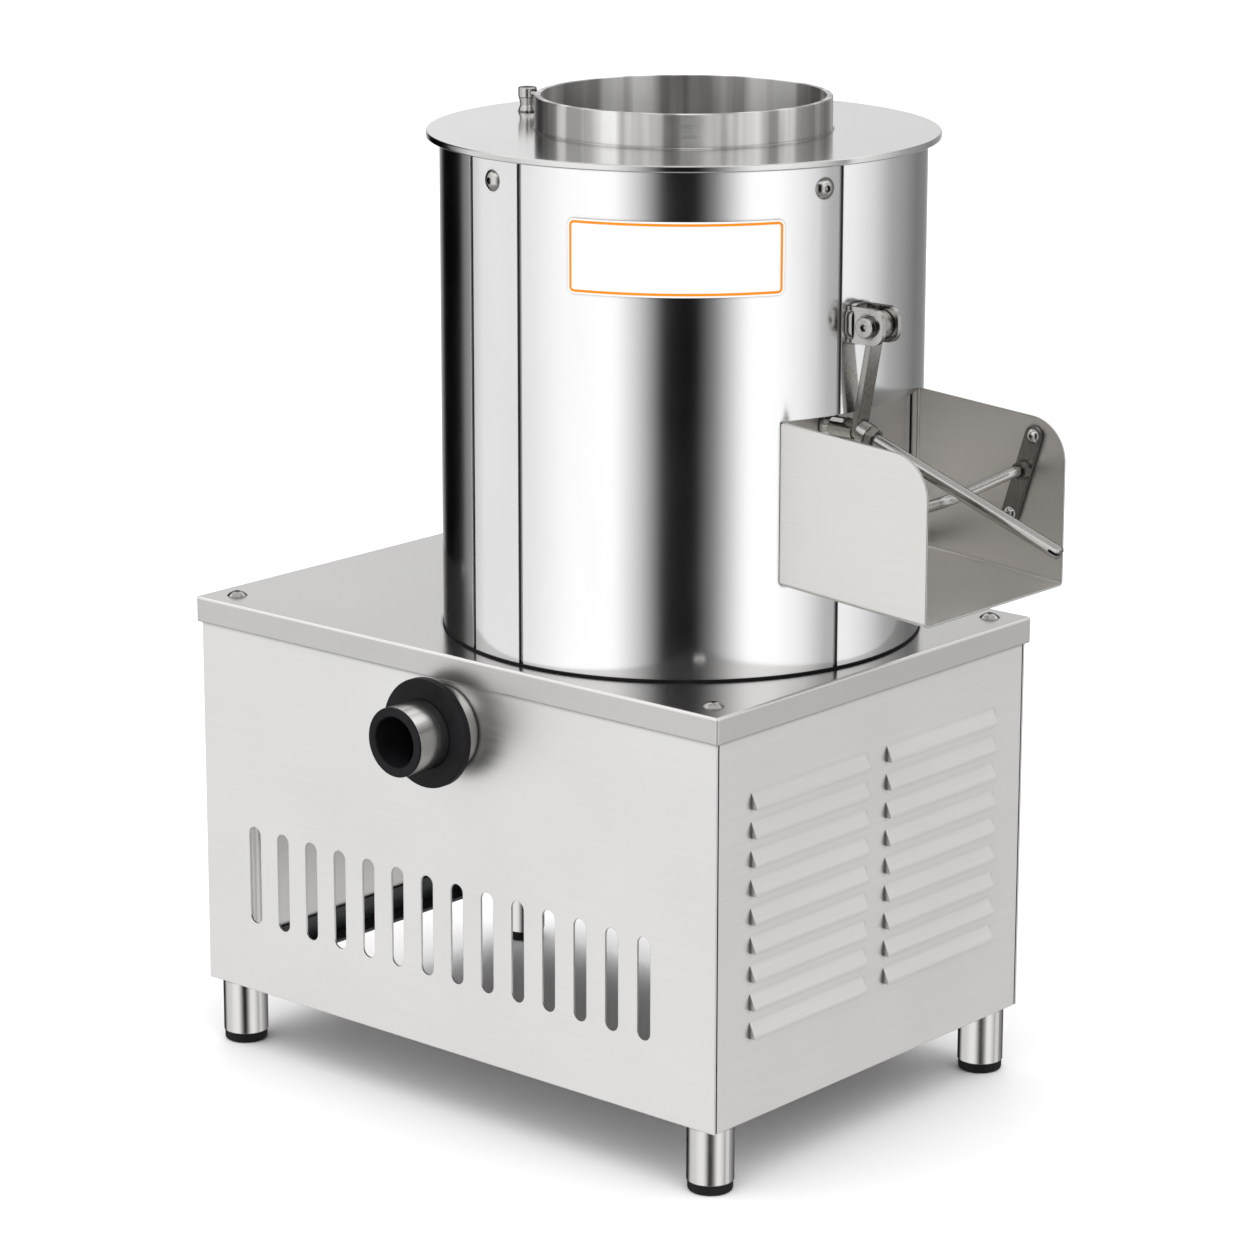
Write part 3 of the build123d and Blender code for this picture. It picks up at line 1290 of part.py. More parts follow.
def terminal_box():
    """Wiring box on the motor's side."""
    front, back = -MOTOR_RADIUS - TERMINAL_BOX_DEPTH, -MOTOR_RADIUS / 2
    middle = MOTOR_BOTTOM + TERMINAL_BOX_RAISE
    box = Pos(0, (front + back) / 2, middle) * Box(TERMINAL_BOX_WIDTH, back - front, TERMINAL_BOX_HEIGHT)
    box = fillet(box.edges().filter_by(Axis.Y), SWITCH_BOX_CORNER)
    return MOTOR * (box - rod(MOTOR_FIN_RADIUS + SEAT, 0, PANEL_TOP))


def motor_shaft():
    """The motor's shaft, down to the small pulley."""
    bottom = BELT_Z - PULLEY_WIDTH / 2 - SHAFT_END
    return MOTOR * rod(MOTOR_SHAFT_RADIUS, bottom, MOTOR_BOTTOM + MOTOR_SHAFT_DEPTH)


def motor_mount():
    """Bent plate that hangs the motor under the deck, slotted to tension the belt."""
    inner = MOTOR_FOOT_REACH
    half = MOUNT_WIDTH / 2
    flange_low = PANEL_TOP - MOUNT_PLATE
    plate = block((inner, -half, MOTOR_BOTTOM + MOUNT_RAISE), (inner + MOUNT_PLATE, half, PANEL_TOP))
    plate += block((inner, -half, flange_low), (inner + MOUNT_FLANGE, half, PANEL_TOP))
    plate = MOTOR * plate
    for place in foot_bolt_places():
        plate -= place * rod(BOLT_RADIUS + SEAT, -MOUNT_PLATE, 0)
    slot = extrude(SlotCenterToCenter(MOUNT_SLOT, 2 * (BOLT_RADIUS + SEAT)), MOUNT_PLATE)
    for place in mount_stud_places():
        plate -= place * Rot(180, 0, 0) * slot
    return plate


def foot_bolt_places():
    """Four bolts through the mount into the motor's feet, heads away from the motor."""
    x = MOTOR_FOOT_REACH + MOUNT_PLATE
    turn = Rot(0, 90, 0)
    return [
        MOTOR * Pos(x, y, z) * turn
        for y in (-MOUNT_BOLT_SPREAD / 2, MOUNT_BOLT_SPREAD / 2)
        for z in (MOTOR_FOOT_LOW, MOTOR_FOOT_HIGH)
    ]


def mount_stud_places():
    """Two bolts under the mount's flange, heads down."""
    x = MOTOR_FOOT_REACH + (MOUNT_PLATE + MOUNT_FLANGE) / 2
    low = PANEL_TOP - MOUNT_PLATE
    return [MOTOR * Pos(x, y, low) * Rot(180, 0, 0) for y in (-MOUNT_BOLT_SPREAD / 2, MOUNT_BOLT_SPREAD / 2)]


def housing_bolt_places():
    """Bolts under the bearing housing's flange, heads down."""
    return [
        DRUM * turn * Pos(HOUSING_BOLT_CIRCLE, 0, HOUSING_FLANGE_LOW) * Rot(180, 0, 0)
        for turn in around(HOUSING_BOLTS, HOUSING_BOLT_TURN)
    ]


def hex_bolts():
    """All hexagon-head bolts of the drive."""
    bolts = [place * hex_bolt(HOUSING_FLANGE) for place in housing_bolt_places()]
    bolts += [place * hex_bolt(MOUNT_PLATE) for place in mount_stud_places()]
    bolts += [place * hex_bolt(MOUNT_PLATE + BOLT_GRIP - RUNNING_GAP) for place in foot_bolt_places()]
    return Compound(bolts)


# Drain


def drain_place():
    """The drain's axis through the front panel, with Z outward."""
    return Pos(0, -HALF_DEPTH, DRAIN_Z) * Rot(90, 0, 0)


def drain_pipe():
    """Steel pipe from the drum's floor, round one bend and out through the front panel."""
    end = (0, DRAIN_END + DRAIN_LIP, DRAIN_Z)
    path = FilletPolyline(
        (0, DRAIN_INLET_Y, DECK_TOP), (0, DRAIN_INLET_Y, DRAIN_Z), end, radius=DRAIN_BEND
    )
    section = Circle(DRAIN_PIPE_RADIUS) - Circle(DRAIN_PIPE_RADIUS - DRAIN_PIPE_WALL)
    return sweep(Plane(origin=path @ 0, z_dir=path % 0) * section, path)


def drain_liner():
    """Rubber bush in the pipe's mouth, with a lip over its end."""
    inside = DRAIN_PIPE_RADIUS - DRAIN_PIPE_WALL - SEAT
    points = (
        (DRAIN_LINER_BORE, DRAIN_REACH - DRAIN_LINER_LENGTH),
        (inside, DRAIN_REACH - DRAIN_LINER_LENGTH),
        (inside, DRAIN_REACH - DRAIN_LIP),
        (DRAIN_PIPE_RADIUS, DRAIN_REACH - DRAIN_LIP),
        (DRAIN_PIPE_RADIUS, DRAIN_REACH - DRAIN_LIP / 2),
        (DRAIN_PIPE_RADIUS - DRAIN_LIP / 2, DRAIN_REACH),
        (DRAIN_LINER_BORE + DRAIN_LIP / 2, DRAIN_REACH),
        (DRAIN_LINER_BORE, DRAIN_REACH - DRAIN_LIP / 2),
    )
    return drain_place() * turned(points)


def drain_socket():
    """Steel sleeve that stands on the front panel round the pipe."""
    bore = DRAIN_PIPE_RADIUS + SEAT
    return drain_place() * tube(bore + DRAIN_SOCKET_WALL, bore, 0, DRAIN_SOCKET_LENGTH)


def drain_flange():
    """Rubber flange against the sleeve's end."""
    low, high = DRAIN_SOCKET_LENGTH, DRAIN_SOCKET_LENGTH + DRAIN_FLANGE
    bore = DRAIN_PIPE_RADIUS + SEAT
    disc = rod(bore + DRAIN_SOCKET_WALL + DRAIN_FLANGE_RIM, low, high)
    disc = fillet(disc.edges(), DRAIN_FLANGE_EDGE)
    return drain_place() * (disc - rod(bore, low, high))


# Switches and supply


def button_place(height):
    """A switch's axis through the left panel, with Z outward."""
    return Pos(-HALF_LENGTH, BUTTON_Y, height) * Rot(0, -90, 0)


def switch_box():
    """Moulded box behind the left panel that encloses both switches."""
    depth = SWITCH_BOX_DEPTH
    outer = extrude(RectangleRounded(SWITCH_BOX_HEIGHT, SWITCH_BOX_WIDTH, SWITCH_BOX_CORNER), depth)
    wall = 2 * SWITCH_BOX_WALL
    inner = RectangleRounded(
        SWITCH_BOX_HEIGHT - wall, SWITCH_BOX_WIDTH - wall, SWITCH_BOX_CORNER - SWITCH_BOX_WALL
    )
    inner = Pos(0, 0, SWITCH_BOX_WALL) * extrude(inner, depth)
    middle = button_place((START_Z + STOP_Z) / 2)
    return middle * Pos(0, 0, -SHEET - depth) * (outer - inner)


def button_bezels():
    """The two switches' bezels, each with its barrel and contact block."""
    bezel = tube(BUTTON_BORE + BEZEL_RIM, BUTTON_BORE, 0, BEZEL_PROUD)
    bezel = chamfer(bezel.edges().group_by(Axis.Z)[-1].sort_by(SortBy.RADIUS)[-1], BEZEL_PROUD / 3)
    bezel += tube(BEZEL_BARREL, BUTTON_BORE, -BEZEL_DEPTH, 0)
    back = SWITCH_BOX_DEPTH + SHEET - SWITCH_BOX_WALL
    bezel += rod(BEZEL_BARREL, -back, -BEZEL_DEPTH)
    return group(bezel, [button_place(height) for height in (START_Z, STOP_Z)])


def push_button(height):
    """A round push button in its bezel."""
    button = rod(BUTTON_RADIUS, -BUTTON_DEPTH, BUTTON_PROUD)
    button = fillet(button.edges().group_by(Axis.Z)[-1], BUTTON_EDGE)
    return button_place(height) * button


def gland_place():
    """The supply gland's axis through the back panel, with Z outward."""
    return Pos(GLAND_X, HALF_DEPTH, CABINET_BOTTOM + GLAND_RAISE) * Rot(-90, 0, 0)


def supply_gland():
    """Cable gland: a hexagon body, a domed nut and a lock nut inside the panel."""
    gland = hexagon(GLAND_FLATS, 0, GLAND_BODY)
    nut_radius = (GLAND_FLATS / 2 + GLAND_RADIUS) / 2
    points = (
        (0, GLAND_BODY),
        (nut_radius, GLAND_BODY),
        (nut_radius, GLAND_DOME),
        (GLAND_RADIUS, GLAND_DOME + GLAND_BODY),
        (0, GLAND_DOME + GLAND_BODY),
    )
    gland += turned(points)
    gland += rod(GLAND_RADIUS, -SHEET - GLAND_INSIDE, 0)
    gland += hexagon(GLAND_FLATS, -SHEET - GLAND_BODY, -SHEET)
    gland -= rod(GLAND_BORE, -SHEET - GLAND_INSIDE, GLAND_DOME + GLAND_BODY)
    return gland_place() * gland


# The whole peeler


def cabinet_parts():
    """Legs, panels, deck and what is fixed in them."""
    return {
        "legs": legs(),
        "feet": feet(),
        "base_frame": base_frame(),
        "front_panel": front_panel(),
        "back_panel": back_panel(),
        "left_panel": left_panel(),
        "right_panel": right_panel(),
        "deck": deck(),
        "button_screws": button_screws(),
        "switch_box": switch_box(),
        "button_bezels": button_bezels(),
        "start_button": push_button(START_Z),
        "stop_button": push_button(STOP_Z),
        "supply_gland": supply_gland(),
        "drain_pipe": drain_pipe(),
        "drain_liner": drain_liner(),
        "drain_socket": drain_socket(),
        "drain_flange": drain_flange(),
    }


def drum_parts():
    """The drum's walls, cover and fittings."""
    return {
        "chamber_wall": chamber_wall(),
        "wall_liner": wall_liner(),
        "chamber_floor": chamber_floor(),
        "jacket_front": jacket_front(),
        "jacket_strip": jacket_strip(),
        "jacket_rear": jacket_rear(),
        "jacket_battens": jacket_battens(),
        "base_gasket": base_gasket(),
        "drum_cover": drum_cover(),
        "feed_collar": feed_collar(),
        "latch_post": latch_post(),
        "latch_cap": latch_cap(),
        "water_inlet": water_inlet(),
        "outlet_frame": outlet_frame(),
    }


def outlet_parts():
    """The chute, the gate and its linkage."""
    return {
        "chute": chute(),
        "stop_straps": stop_straps(),
        "strap_studs": strap_studs(),
        "stop_bar": stop_bar(),
        "clevis_bracket": clevis_bracket(),
        "clevis_pin": clevis_pin(),
        "clevis_nuts": clevis_nuts(),
        "gate_plate": gate_plate(),
        "gate_boss": gate_boss(),
        "gate_arm": gate_arm(),
        "gate_handle": gate_handle(),
    }


def drive_parts():
    """The disc, its shaft and bearings, the belt drive and the motor."""
    return {
        "disc_casting": disc_casting(),
        "disc_grit": disc_grit(),
        "disc_nut": disc_nut(),
        "main_shaft": main_shaft(),
        "driven_pulley": driven_pulley(),
        "bearing_housing": bearing_housing(),
        "shaft_bearings": shaft_bearings(),
        "shaft_seal": shaft_seal(),
        "hex_bolts": hex_bolts(),
        "drive_belt": drive_belt(),
        "drive_pulley": drive_pulley(),
        "motor_shaft": motor_shaft(),
        "motor_housing": motor_housing(),
        "motor_fan_cover": motor_fan_cover(),
        "terminal_box": terminal_box(),
        "motor_mount": motor_mount(),
    }


def to_origin(parts):
    """The move that puts the middle of the whole peeler's box on the Z axis."""
    box = Compound(list(parts.values())).bounding_box()
    return Pos(-box.center().X, -box.center().Y, 0)


PARTS = {**cabinet_parts(), **drum_parts(), **outlet_parts(), **drive_parts()}
ORIGIN_MOVE = to_origin(PARTS)

for name, part in PARTS.items():
    export_step(ORIGIN_MOVE * part, f"parts/{name}.step")
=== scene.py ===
"""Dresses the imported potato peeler: its finishes, the bare plate on the drum, floor, light and camera."""

from math import cos, hypot, pi, radians, sin, sqrt

import bmesh
import bpy
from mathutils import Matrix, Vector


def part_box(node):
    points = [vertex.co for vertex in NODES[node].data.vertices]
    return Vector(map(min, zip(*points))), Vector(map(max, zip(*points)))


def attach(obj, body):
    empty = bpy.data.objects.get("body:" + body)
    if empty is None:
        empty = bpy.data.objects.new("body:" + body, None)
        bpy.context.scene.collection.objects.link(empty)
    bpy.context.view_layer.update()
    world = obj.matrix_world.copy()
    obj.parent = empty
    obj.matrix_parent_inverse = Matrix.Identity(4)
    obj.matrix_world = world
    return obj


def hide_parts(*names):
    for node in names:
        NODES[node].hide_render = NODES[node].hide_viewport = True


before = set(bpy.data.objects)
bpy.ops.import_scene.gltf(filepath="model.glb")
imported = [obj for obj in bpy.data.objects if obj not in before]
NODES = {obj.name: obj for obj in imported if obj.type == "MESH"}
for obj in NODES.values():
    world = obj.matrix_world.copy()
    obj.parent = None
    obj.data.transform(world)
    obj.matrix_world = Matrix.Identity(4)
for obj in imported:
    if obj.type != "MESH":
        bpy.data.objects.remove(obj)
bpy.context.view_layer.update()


def centre(node):
    """The middle of a node's box, in metres."""
    low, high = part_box(node)
    return (low + high) / 2


# Places read from the frame

MM = 0.001
DRUM = centre("feed_collar")
JACKET_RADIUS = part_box("jacket_rear")[1].y - DRUM.y
DECK_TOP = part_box("deck")[1].z
DECK_EDGE = 2.2 * MM
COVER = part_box("drum_cover")
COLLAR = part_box("feed_collar")
COVER_EDGE = 1.5 * MM
COVER_BAND = COVER_EDGE / 5
COVER_TURNS = 400
WELD_COVER = 1.0 * MM

# Camera, fitted to the photograph: its place along X and Y is given from the drum's axis

CAMERA_FROM_DRUM = (2.4350, -2.8994)
CAMERA_HEIGHT = 1.4299
CAMERA_YAW = 41.152
CAMERA_PITCH = 13.893
CAMERA_LENS = 122.46
CAMERA_SHIFT = (0.0215, -0.0534)

# Studio: how bright the room is round the object, as (azimuth in degrees, level)

ROOM = (
    (-180, 0.0),
    (-168, 0.5),
    (-160, 0.85),
    (-130, 0.8),
    (-106, 1.05),
    (-82, 1.1),
    (-70, 0.6),
    (-59, 0.01),
    (-43, 0.0),
    (-35, 0.22),
    (-19, 1.1),
    (-6, 1.1),
    (10, 0.85),
    (27, 0.3),
    (30, 1.0),
    (50, 0.72),
    (64, 0.42),
    (92, 0.25),
    (110, 0.4),
    (124, 0.75),
    (138, 0.9),
    (154, 0.0),
)
OVERHEAD = 1.5
OVERHEAD_FROM, OVERHEAD_FULL = 0.42, 0.80
GROUND = 0.35
GROUND_FROM, GROUND_FULL = -0.40, -0.75
ZENITH = 0.65
ZENITH_FROM, ZENITH_FULL = 0.64, 0.84
BACKDROP = 1.0
FLOOR_SIZE = 24.0

# A wide soft lamp, from high in front of the drum, for the floor and the matt surfaces

LAMP_STRENGTH = 1.1
LAMP_WIDTH = 100.0
LAMP_TILT = 35.0
LAMP_AZIMUTH = -60.0

# The bare plate on the drum, between two azimuths and two heights

PLATE_START, PLATE_END = -76.7, -26.7
PLATE_LOW, PLATE_HIGH = 0.7765, 0.8415
PLATE_WIDTH = radians(PLATE_END - PLATE_START) * JACKET_RADIUS
PLATE_HEIGHT = PLATE_HIGH - PLATE_LOW
PLATE_MIDDLE = radians(PLATE_END + PLATE_START) / 2 * JACKET_RADIUS
PLATE_LEVEL = (PLATE_HIGH + PLATE_LOW) / 2
PLATE_LIFT = 0.2 * MM
PLATE_THICKNESS = 0.6 * MM
PLATE_CORNER = 6.0 * MM
PLATE_COLUMNS = 72
BORDER_INSET = 1.6 * MM
BORDER_WIDTH = 2.2 * MM
BORDER_RISE = 0.08 * MM
CORNER_STEPS = 10

# What the finishes share. Nearly all of a noise lies from its low to its high value, and the light that
# reaches a point runs from shut in to clear. A grain is the noise's cells per metre along X, Y and Z.

NOISE_LOW, NOISE_HIGH = 0.3, 0.7
SHUT_IN, CLEAR = 0.45, 0.95
# How far the painted shade in hollow corners and joints reaches on most parts and on the panels, how far cut
# edges darken, and how dark each gets
PAINTED_SHADE_REACH = 3.0 * MM
PANEL_PAINTED_SHADE_REACH = 5.0 * MM
CUT_REACH = 1.2 * MM
PAINTED_SHADE_DARKEST, CUT_SHADE = 0.12, 0.30
EDGE_SAMPLES, BEVEL_SAMPLES = 6, 4
STREAK = 0.06
GLOSS_SWING = 0.05
QUARTER_TURN = 0.25
METAL, NOT_METAL = 1.0, 0.0
ALONG_X = (9.0, 1500.0, 1500.0)
ALONG_Y = (1500.0, 9.0, 1500.0)
ALONG_Z = (1500.0, 1500.0, 9.0)
ALONG_TUBE_Z = (300.0, 300.0, 9.0)
AROUND_TUBE_Y = (40.0, 1200.0, 40.0)
STEEL = (0.80, 0.79, 0.77)

# The deck's turned-down edge, as shares of the height over which it bends: where the skirt's lighter painted
# shade ends, where the painted highlight along the bend starts and ends, and where the top's darker shade
# starts

SKIRT_END, HIGHLIGHT_START, HIGHLIGHT_END, TOP_START = 0.40, 0.52, 0.955, 0.99
TOP_GLOSS_START = 0.8


def grey(level):
    """A neutral colour."""
    return (level, level, level)


def even(cells):
    """The same grain along all three axes."""
    return (cells, cells, cells)


# Materials


class Nodes:
    """A node tree being filled, with short ways to add nodes and join them."""

    def __init__(self, tree):
        self.tree = tree

    def add(self, kind, **values):
        """A new node with its properties and input values set."""
        node = self.tree.nodes.new(kind)
        for key, value in values.items():
            if hasattr(node, key):
                setattr(node, key, value)
            else:
                node.inputs[key.replace("_", " ").title()].default_value = value
        return node

    def link(self, out, into):
        """Joins two sockets."""
        self.tree.links.new(out, into)

    def spread(self, value, low, high, start=NOISE_LOW, end=NOISE_HIGH, **values):
        """A value between start and end carried onto low to high."""
        node = self.add("ShaderNodeMapRange", from_min=start, from_max=end, to_min=low, to_max=high, **values)
        self.link(value, node.inputs["Value"])
        return node.outputs["Result"]

    def combined(self, kind, operation, first, second):
        """Two values or colours put through one operation."""
        both = self.add(kind, operation=operation)
        self.link(first, both.inputs[0])
        self.link(second, both.inputs[1])
        return both.outputs[0]

    def ramp(self, value, stops):
        """A value looked up in rising (place, colour) stops."""
        node = self.add("ShaderNodeValToRGB")
        elements = node.color_ramp.elements
        while len(elements) > 1:
            elements.remove(elements[-1])
        for i, (place, colour) in enumerate(stops):
            stop = elements[0] if i == 0 else elements.new(place)
            stop.position = place
            stop.color = (*colour, 1.0)
        self.link(value, node.inputs["Fac"])
        return node.outputs["Color"]


class Finish(Nodes):
    """A material being made: its shader, and short ways to vary it."""

    def __init__(self, name, colour, metallic, roughness, painted_shade=0.0, cut=0.0):
        self.material = bpy.data.materials.new(name)
        self.material.use_nodes = True
        super().__init__(self.material.node_tree)
        self.shader = self.tree.nodes["Principled BSDF"]
        self.colour = colour
        self.painted_shade = painted_shade
        self.cut = cut
        self.set("Base Color", (*colour, 1.0))
        self.set("Metallic", metallic)
        self.set("Roughness", roughness)
        self.coordinates = self.add("ShaderNodeTexCoord").outputs["Object"]

    def set(self, socket, value):
        """One uniform value of the shader."""
        self.shader.inputs[socket].default_value = value

    def noise(self, grain, detail=3.0, roughness=0.55):
        """Noise over the object's own coordinates."""
        place = self.add("ShaderNodeMapping", scale=grain)
        self.link(self.coordinates, place.inputs["Vector"])
        noise = self.add("ShaderNodeTexNoise", scale=1.0, detail=detail, roughness=roughness)
        self.link(place.outputs["Vector"], noise.inputs["Vector"])
        return noise.outputs["Fac"]

    def tones(self, value, dark, light):
        """The base colour runs between two shades of itself, and is darker with painted shade in hollow
        corners and joints and along cut edges.
        """
        shades = [[c * shade for c in self.colour] for shade in (dark, light)]
        colour = self.ramp(value, zip((NOISE_LOW, NOISE_HIGH), shades))
        # Painted shade: the colour is darkened in hollow corners and joints, where shade falls
        if self.painted_shade:
            colour = self.shaded(colour, self.painted_shade, False, PAINTED_SHADE_DARKEST)
        if self.cut:
            colour = self.shaded(colour, self.cut, True, CUT_SHADE)
        self.link(colour, self.shader.inputs["Base Color"])

    def shaded(self, colour, reach, inside, dark):
        """A colour darkened by painted shade within a reach of the hollow edges, or darker within a reach of
        the sharp cut edges where inside is set.
        """
        edges = self.add("ShaderNodeAmbientOcclusion", samples=EDGE_SAMPLES, inside=inside, distance=reach)
        clean = self.spread(edges.outputs["AO"], dark, 1.0, SHUT_IN, CLEAR)
        return self.combined("ShaderNodeVectorMath", "MULTIPLY", colour, clean)

    def roughen(self, value, low, high):
        """The roughness runs between two values."""
        self.link(self.spread(value, low, high), self.shader.inputs["Roughness"])

    def bump(self, value, height, strength=1.0, eased=0.0):
        """A bump of a height in metres, over sharp edges rounded by a radius where eased is given."""
        node = self.add("ShaderNodeBump", strength=strength, distance=height)
        self.link(value, node.inputs["Height"])
        if eased:
            rounded = self.add("ShaderNodeBevel", radius=eased, samples=BEVEL_SAMPLES)
            self.link(rounded.outputs["Normal"], node.inputs["Normal"])
        self.link(node.outputs["Normal"], self.shader.inputs["Normal"])

    def dark_rims(self, level):
        """Bare metal that turns darker where it is seen edge on."""
        self.set("Specular Tint", (*grey(level), 1.0))

    def turned(self, stretch):
        """Gloss that is drawn out across marks running round the upright axis."""
        around = self.add("ShaderNodeTangent", direction_type="RADIAL", axis="Z")
        self.link(around.outputs["Tangent"], self.shader.inputs["Tangent"])
        self.set("Anisotropic", stretch)
        self.set("Anisotropic Rotation", QUARTER_TURN)


def brushed(
    name, grain, colour=STEEL, roughness=0.34, edge=0.9 * MM, rim=1.0, cut=0.0, painted_shade=PAINTED_SHADE_REACH
):
    """Satin stainless sheet, brushed along the axis in which grain is lowest."""
    finish = Finish(name, colour, METAL, roughness, painted_shade, cut)
    finish.dark_rims(rim)
    streaks = finish.noise(grain, detail=4.0)
    clouds = finish.noise(even(5.0), detail=2.0)
    fine = finish.spread(streaks, -STREAK, STREAK)
    broad = finish.spread(clouds, 0.46, 0.54)
    finish.tones(finish.combined("ShaderNodeMath", "ADD", fine, broad), dark=0.84, light=1.06)
    finish.roughen(streaks, roughness - GLOSS_SWING, roughness + GLOSS_SWING)
    finish.bump(streaks, 0.01 * MM, eased=edge)
    return finish


def deck_sheet(name, top, skirt):
    """Satin sheet with painted light on its bend: a painted highlight along the bend between its top and its
    skirt, and the top and the skirt at different painted shades, each given as (shade, roughness).
    """
    finish = brushed(name, ALONG_X, colour=(1.0, 0.99, 0.97), edge=2.0 * MM)
    split = finish.add("ShaderNodeSeparateXYZ")
    finish.link(finish.coordinates, split.inputs[0])
    height = finish.spread(split.outputs["Z"], 0.0, 1.0, DECK_TOP - 2 * DECK_EDGE, DECK_TOP)
    # Painted light: the skirt's lighter shade, a painted highlight along the bend, and the top's darker
    # shade, multiplied into the base colour
    painted_levels = ((SKIRT_END, skirt[0]), (HIGHLIGHT_START, 1.0), (HIGHLIGHT_END, 1.0), (TOP_START, top[0]))
    painted_light = finish.ramp(height, [(place, grey(level)) for place, level in painted_levels])
    base, gloss = finish.shader.inputs["Base Color"], finish.shader.inputs["Roughness"]
    finish.link(finish.combined("ShaderNodeVectorMath", "MULTIPLY", base.links[0].from_socket, painted_light), base)
    finish.link(finish.spread(height, skirt[1], top[1], TOP_GLOSS_START, 1.0), gloss)
    return finish


def polished(name, colour=grey(0.95), roughness=0.14, rim=1.0):
    """Mirror-bright sheet with faint upright draw lines and wiping marks."""
    finish = Finish(name, colour, METAL, roughness, PAINTED_SHADE_REACH)
    finish.dark_rims(rim)
    lines = finish.noise((900.0, 900.0, 6.0), detail=2.0)
    wipes = finish.noise((9.0, 9.0, 4.0))
    finish.tones(wipes, dark=0.96, light=1.02)
    finish.roughen(wipes, roughness - 0.015, roughness + 0.03)
    finish.bump(lines, 0.0008 * MM, eased=0.6 * MM)
    return finish


def drawn(name, colour, roughness):
    """Bright spun ring with broad upright streaks over fine marks that run round it."""
    finish = Finish(name, colour, METAL, roughness, PAINTED_SHADE_REACH)
    finish.turned(0.85)
    broad = finish.noise((42.0, 42.0, 0.8), detail=1.5)
    fine = finish.noise((60.0, 60.0, 1600.0), detail=2.0)
    finish.tones(finish.spread(broad, 0.25, 0.75, 0.4, 0.6), dark=0.48, light=1.10)
    finish.roughen(fine, roughness - GLOSS_SWING, roughness + GLOSS_SWING)
    finish.bump(fine, 0.0015 * MM, eased=0.8 * MM)
    return finish


def turned_steel(name, colour, roughness, depth=0.003 * MM):
    """Machined or drawn bright steel with fine marks."""
    finish = Finish(name, colour, METAL, roughness, PAINTED_SHADE_REACH)
    finish.dark_rims(0.25)
    marks = finish.noise(even(500.0))
    finish.tones(marks, dark=0.90, light=1.05)
    finish.roughen(marks, roughness - 0.04, roughness + 0.06)
    finish.bump(marks, depth, eased=0.5 * MM)
    return finish


def rubber(name):
    """Matt black rubber with a fine moulded skin and a bloom of dust."""
    finish = Finish(name, (0.008, 0.008, 0.009), NOT_METAL, 0.5)
    finish.set("Specular IOR Level", 0.14)
    skin = finish.noise(even(900.0))
    bloom = finish.noise(even(30.0), detail=4.0)
    finish.tones(bloom, dark=0.7, light=1.8)
    finish.roughen(bloom, 0.42, 0.62)
    finish.bump(skin, 0.03 * MM, strength=0.4, eased=0.6 * MM)
    return finish


def grit(name):
    """Bonded abrasive: coarse dark grains with a few bright ones."""
    finish = Finish(name, (0.20, 0.19, 0.18), NOT_METAL, 0.85)
    grains = finish.add("ShaderNodeTexVoronoi", scale=420.0)
    finish.link(finish.coordinates, grains.inputs["Vector"])
    shades = finish.add("ShaderNodeSeparateColor")
    finish.link(grains.outputs["Color"], shades.inputs["Color"])
    finish.tones(shades.outputs["Red"], dark=0.45, light=1.9)
    finish.roughen(shades.outputs["Green"], 0.6, 0.95)
    finish.bump(grains.outputs["Distance"], -1.2 * MM, strength=0.9)
    return finish


def cast(name, colour, metallic, roughness):
    """Cast metal with its sandy skin."""
    finish = Finish(name, colour, metallic, roughness)
    skin = finish.noise(even(260.0), detail=5.0, roughness=0.65)
    finish.tones(skin, dark=0.75, light=1.15)
    finish.roughen(skin, roughness - 0.1, roughness + 0.12)
    finish.bump(skin, 0.2 * MM, strength=0.5, eased=0.8 * MM)
    return finish


def painted(name, colour, roughness=0.4):
    """Paint on steel, with orange peel and rubbed patches."""
    finish = Finish(name, colour, NOT_METAL, roughness)
    finish.set("Coat Weight", 0.3)
    finish.set("Coat Roughness", 0.2)
    peel = finish.noise(even(320.0), detail=1.5)
    rubs = finish.noise(even(22.0), detail=5.0)
    finish.tones(rubs, dark=0.8, light=1.25)
    finish.roughen(rubs, roughness - 0.08, roughness + 0.12)
    finish.bump(peel, 0.08 * MM, strength=0.3, eased=0.6 * MM)
    return finish


def plastic(name, colour, roughness=0.45, grain=1400.0):
    """Moulded plastic with a spark-eroded grain."""
    finish = Finish(name, colour, NOT_METAL, roughness)
    texture = finish.noise(even(grain), detail=2.0)
    scuffs = finish.noise(even(60.0), detail=5.0)
    finish.tones(scuffs, dark=0.85, light=1.15)
    finish.roughen(scuffs, roughness - 0.08, roughness + 0.1)
    finish.bump(texture, 0.03 * MM, strength=0.4, eased=0.4 * MM)
    return finish


def enamel(name, colour):
    """Printed enamel on a thin metal plate."""
    finish = Finish(name, colour, NOT_METAL, 0.4)
    finish.set("Specular IOR Level", 0.2)
    peel = finish.noise(even(180.0), detail=2.0)
    dust = finish.noise(even(9.0), detail=1.0)
    finish.tones(dust, dark=0.985, light=1.005)
    finish.roughen(dust, 0.36, 0.46)
    finish.bump(peel, 0.01 * MM, strength=0.2)
    return finish


